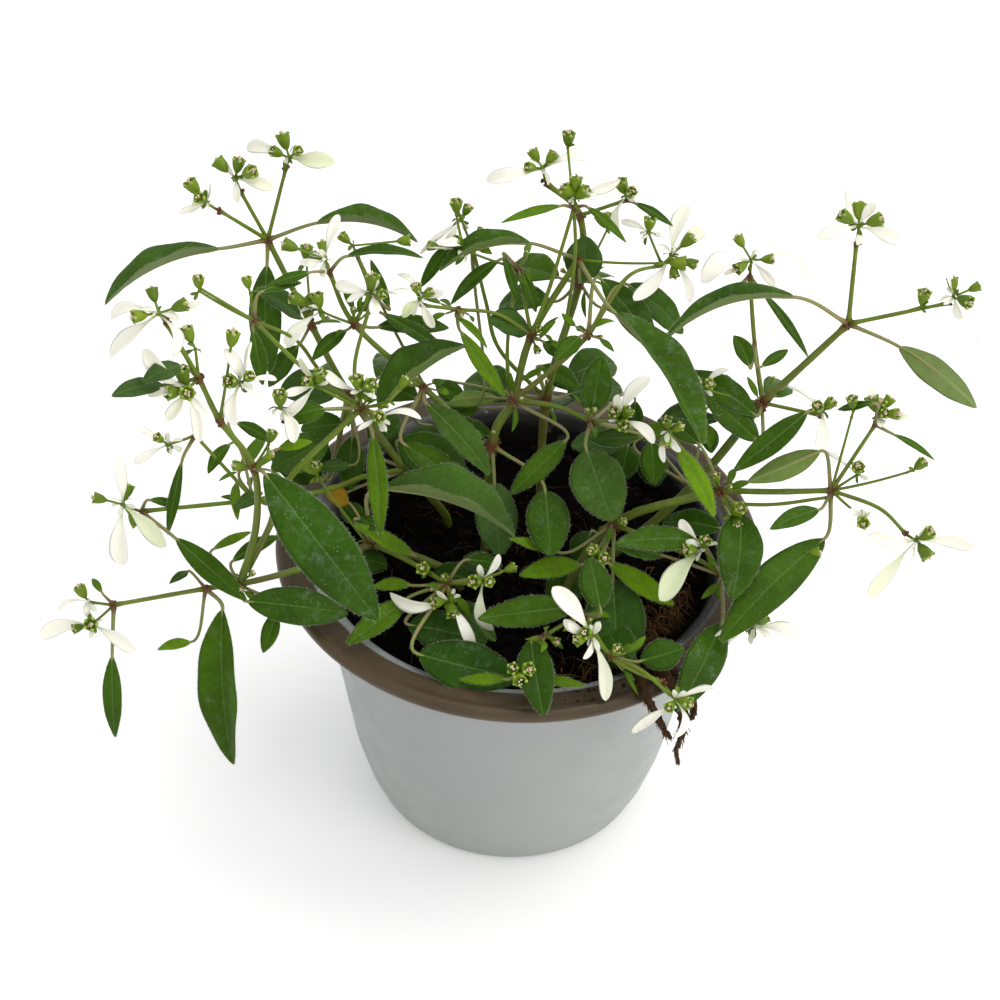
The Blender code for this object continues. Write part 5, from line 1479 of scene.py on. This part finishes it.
def peat():
    """Peat: almost black and matt, with browner grains."""
    made = Finish("peat", 0.95, Specular_IOR_Level=0.06)
    brown = made.patches((600, 5, 0.7), 0.45, 0.75, 0.0, 0.5) + made.vector("tone")[0]
    made.colour(made.mix(brown * 0.75, PEAT_BLACK, PEAT_BROWN))
    made.bump(made.noise(1100, 6, 0.75), 0.9)
    return made.material


def coir():
    """Coir: brown fibres, from dark to golden."""
    made = Finish("coir", 0.75, Specular_IOR_Level=0.12)
    brown = made.mix(made.vector("tone")[0], COIR_DARK, COIR_GOLD)
    made.colour(made.mix(made.patches((800, 4, 0.7), 0.4, 0.7, 0.0, 0.6), brown, COIR_DARK))
    made.bump(made.noise(1500, 4), 0.3, 0.9)
    return made.material


def pot_plastic():
    """Pot: satin light grey plastic with a faint grain, specks of peat inside, and a dark painted shade,
    partly peat stain, on the inner wall.
    """
    made = Finish("pot_plastic", 0.45, Specular_IOR_Level=0.35)
    inner, stained_and_shaded, _ = made.vector("tone")
    grey = made.mix(made.patches((14, 3), 0.3, 0.7), POT_GREY, POT_GREY_WARM)
    grey = made.mix(made.patches((70, 6, 0.75), 0.62, 0.8, 0.0, 0.14), grey, POT_SCUFF)
    speckle = inner * made.patches((380, 5, 0.7), 0.52, 0.7)
    grey = made.mix(speckle * 0.6, grey, PEAT_BROWN)
    gaps = made.patches((150, 5, 0.7), 0.3, 0.42, 0.6, 1.0)
    # painted shade, partly peat stain, darkens the inner wall
    made.colour(made.mix(stained_and_shaded * gaps, grey, PEAT_STAIN_AND_SHADE))
    made.rough(made.patches((110, 4), 0.3, 0.7, 0.36, 0.5))
    made.bump(made.noise(900, 3), 0.05, 0.35)
    return made.material


def pot_band():
    """Rim band: bronze paint with a fine metallic grain and worn spots."""
    made = Finish("pot_band", 0.42, Metallic=0.15, Specular_IOR_Level=0.3)
    tone = made.mix(made.patches((40, 3), 0.3, 0.7), BAND_DARK, BAND_LIGHT)
    tone = made.mix(made.patches((1500, 2), 0.35, 0.65, 0.0, 0.3), tone, BAND_LIGHT)
    wear = made.patches((130, 6, 0.75), 0.66, 0.74, 0.0, 0.35)
    made.colour(made.mix(wear, tone, POT_SCUFF))
    made.rough(made.patches((160, 4), 0.3, 0.7, 0.3, 0.46))
    made.bump(made.noise(1200, 3), 0.05, 0.4)
    return made.material


FINISHES = {
    made.__name__: made()
    for made in (
        leaf_upper, leaf_under, stem, petiole, bract, cup, gland, stamen, hair, peat, coir,
        pot_plastic, pot_band,
    )
}


# ---------------------------------------------------------------- floor, light and camera


def make_floor():
    """A square pale floor just under the pot, which glows a little."""
    made = Finish("floor", 0.8, Specular_IOR_Level=0.1)
    made.shader.inputs["Base Color"].default_value = (*FLOOR_WHITE, 1)
    made.shader.inputs["Emission Color"].default_value = (1, 1, 1, 1)
    made.shader.inputs["Emission Strength"].default_value = FLOOR_GLOW
    mesh = bpy.data.meshes.new("floor")
    half = FLOOR_SIZE / 2
    corners = ((-half, -half), (half, -half), (half, half), (-half, half))
    mesh.from_pydata([(x, y, -0.0002) for x, y in corners], [], [(0, 1, 2, 3)])
    mesh.materials.append(made.material)
    floor = bpy.data.objects.new("floor", mesh)
    bpy.context.scene.collection.objects.link(floor)


def make_light():
    """A pale even sky, one broad soft light from above and one from the right at the front."""
    world = bpy.data.worlds.new("soft_sky")
    world.use_nodes = True
    sky = world.node_tree.nodes["Background"]
    sky.inputs["Color"].default_value = (*SKY_COLOUR, 1)
    sky.inputs["Strength"].default_value = SKY
    bpy.context.scene.world = world
    for name, place, size, watts, colour in LAMPS:
        lamp = bpy.data.lights.new(name, "AREA")
        lamp.shape = "DISK"
        lamp.size = size
        lamp.energy = watts
        lamp.color = colour
        obj = bpy.data.objects.new(name, lamp)
        obj.location = place
        aim = Vector(LAMP_AIM) - obj.location
        obj.rotation_euler = aim.to_track_quat("-Z", "Y").to_euler()
        bpy.context.scene.collection.objects.link(obj)
    bpy.context.scene.view_settings.view_transform = "Standard"


def make_camera():
    data = bpy.data.cameras.new("camera")
    data.lens = CAMERA_LENS
    camera = bpy.data.objects.new("camera", data)
    aim = Vector(CAMERA_AIM) - Vector(CAMERA_PLACE)
    turn = aim.to_track_quat("-Z", "Y").to_matrix() @ Matrix.Rotation(math.radians(CAMERA_ROLL), 3, "Z")
    camera.matrix_world = Matrix.Translation(Vector(CAMERA_PLACE) * MM) @ turn.to_4x4()
    bpy.context.scene.collection.objects.link(camera)
    bpy.context.scene.camera = camera


make_floor()
make_light()
make_camera()
make_pot()
make_soil()
make_tuft()
for name, runs in SHOOTS.items():
    make_shoot(name, runs)
make_young_growth()
for row in LEAVES:
    make_leaf(*row)
for row in HEADS:
    make_head(*row)
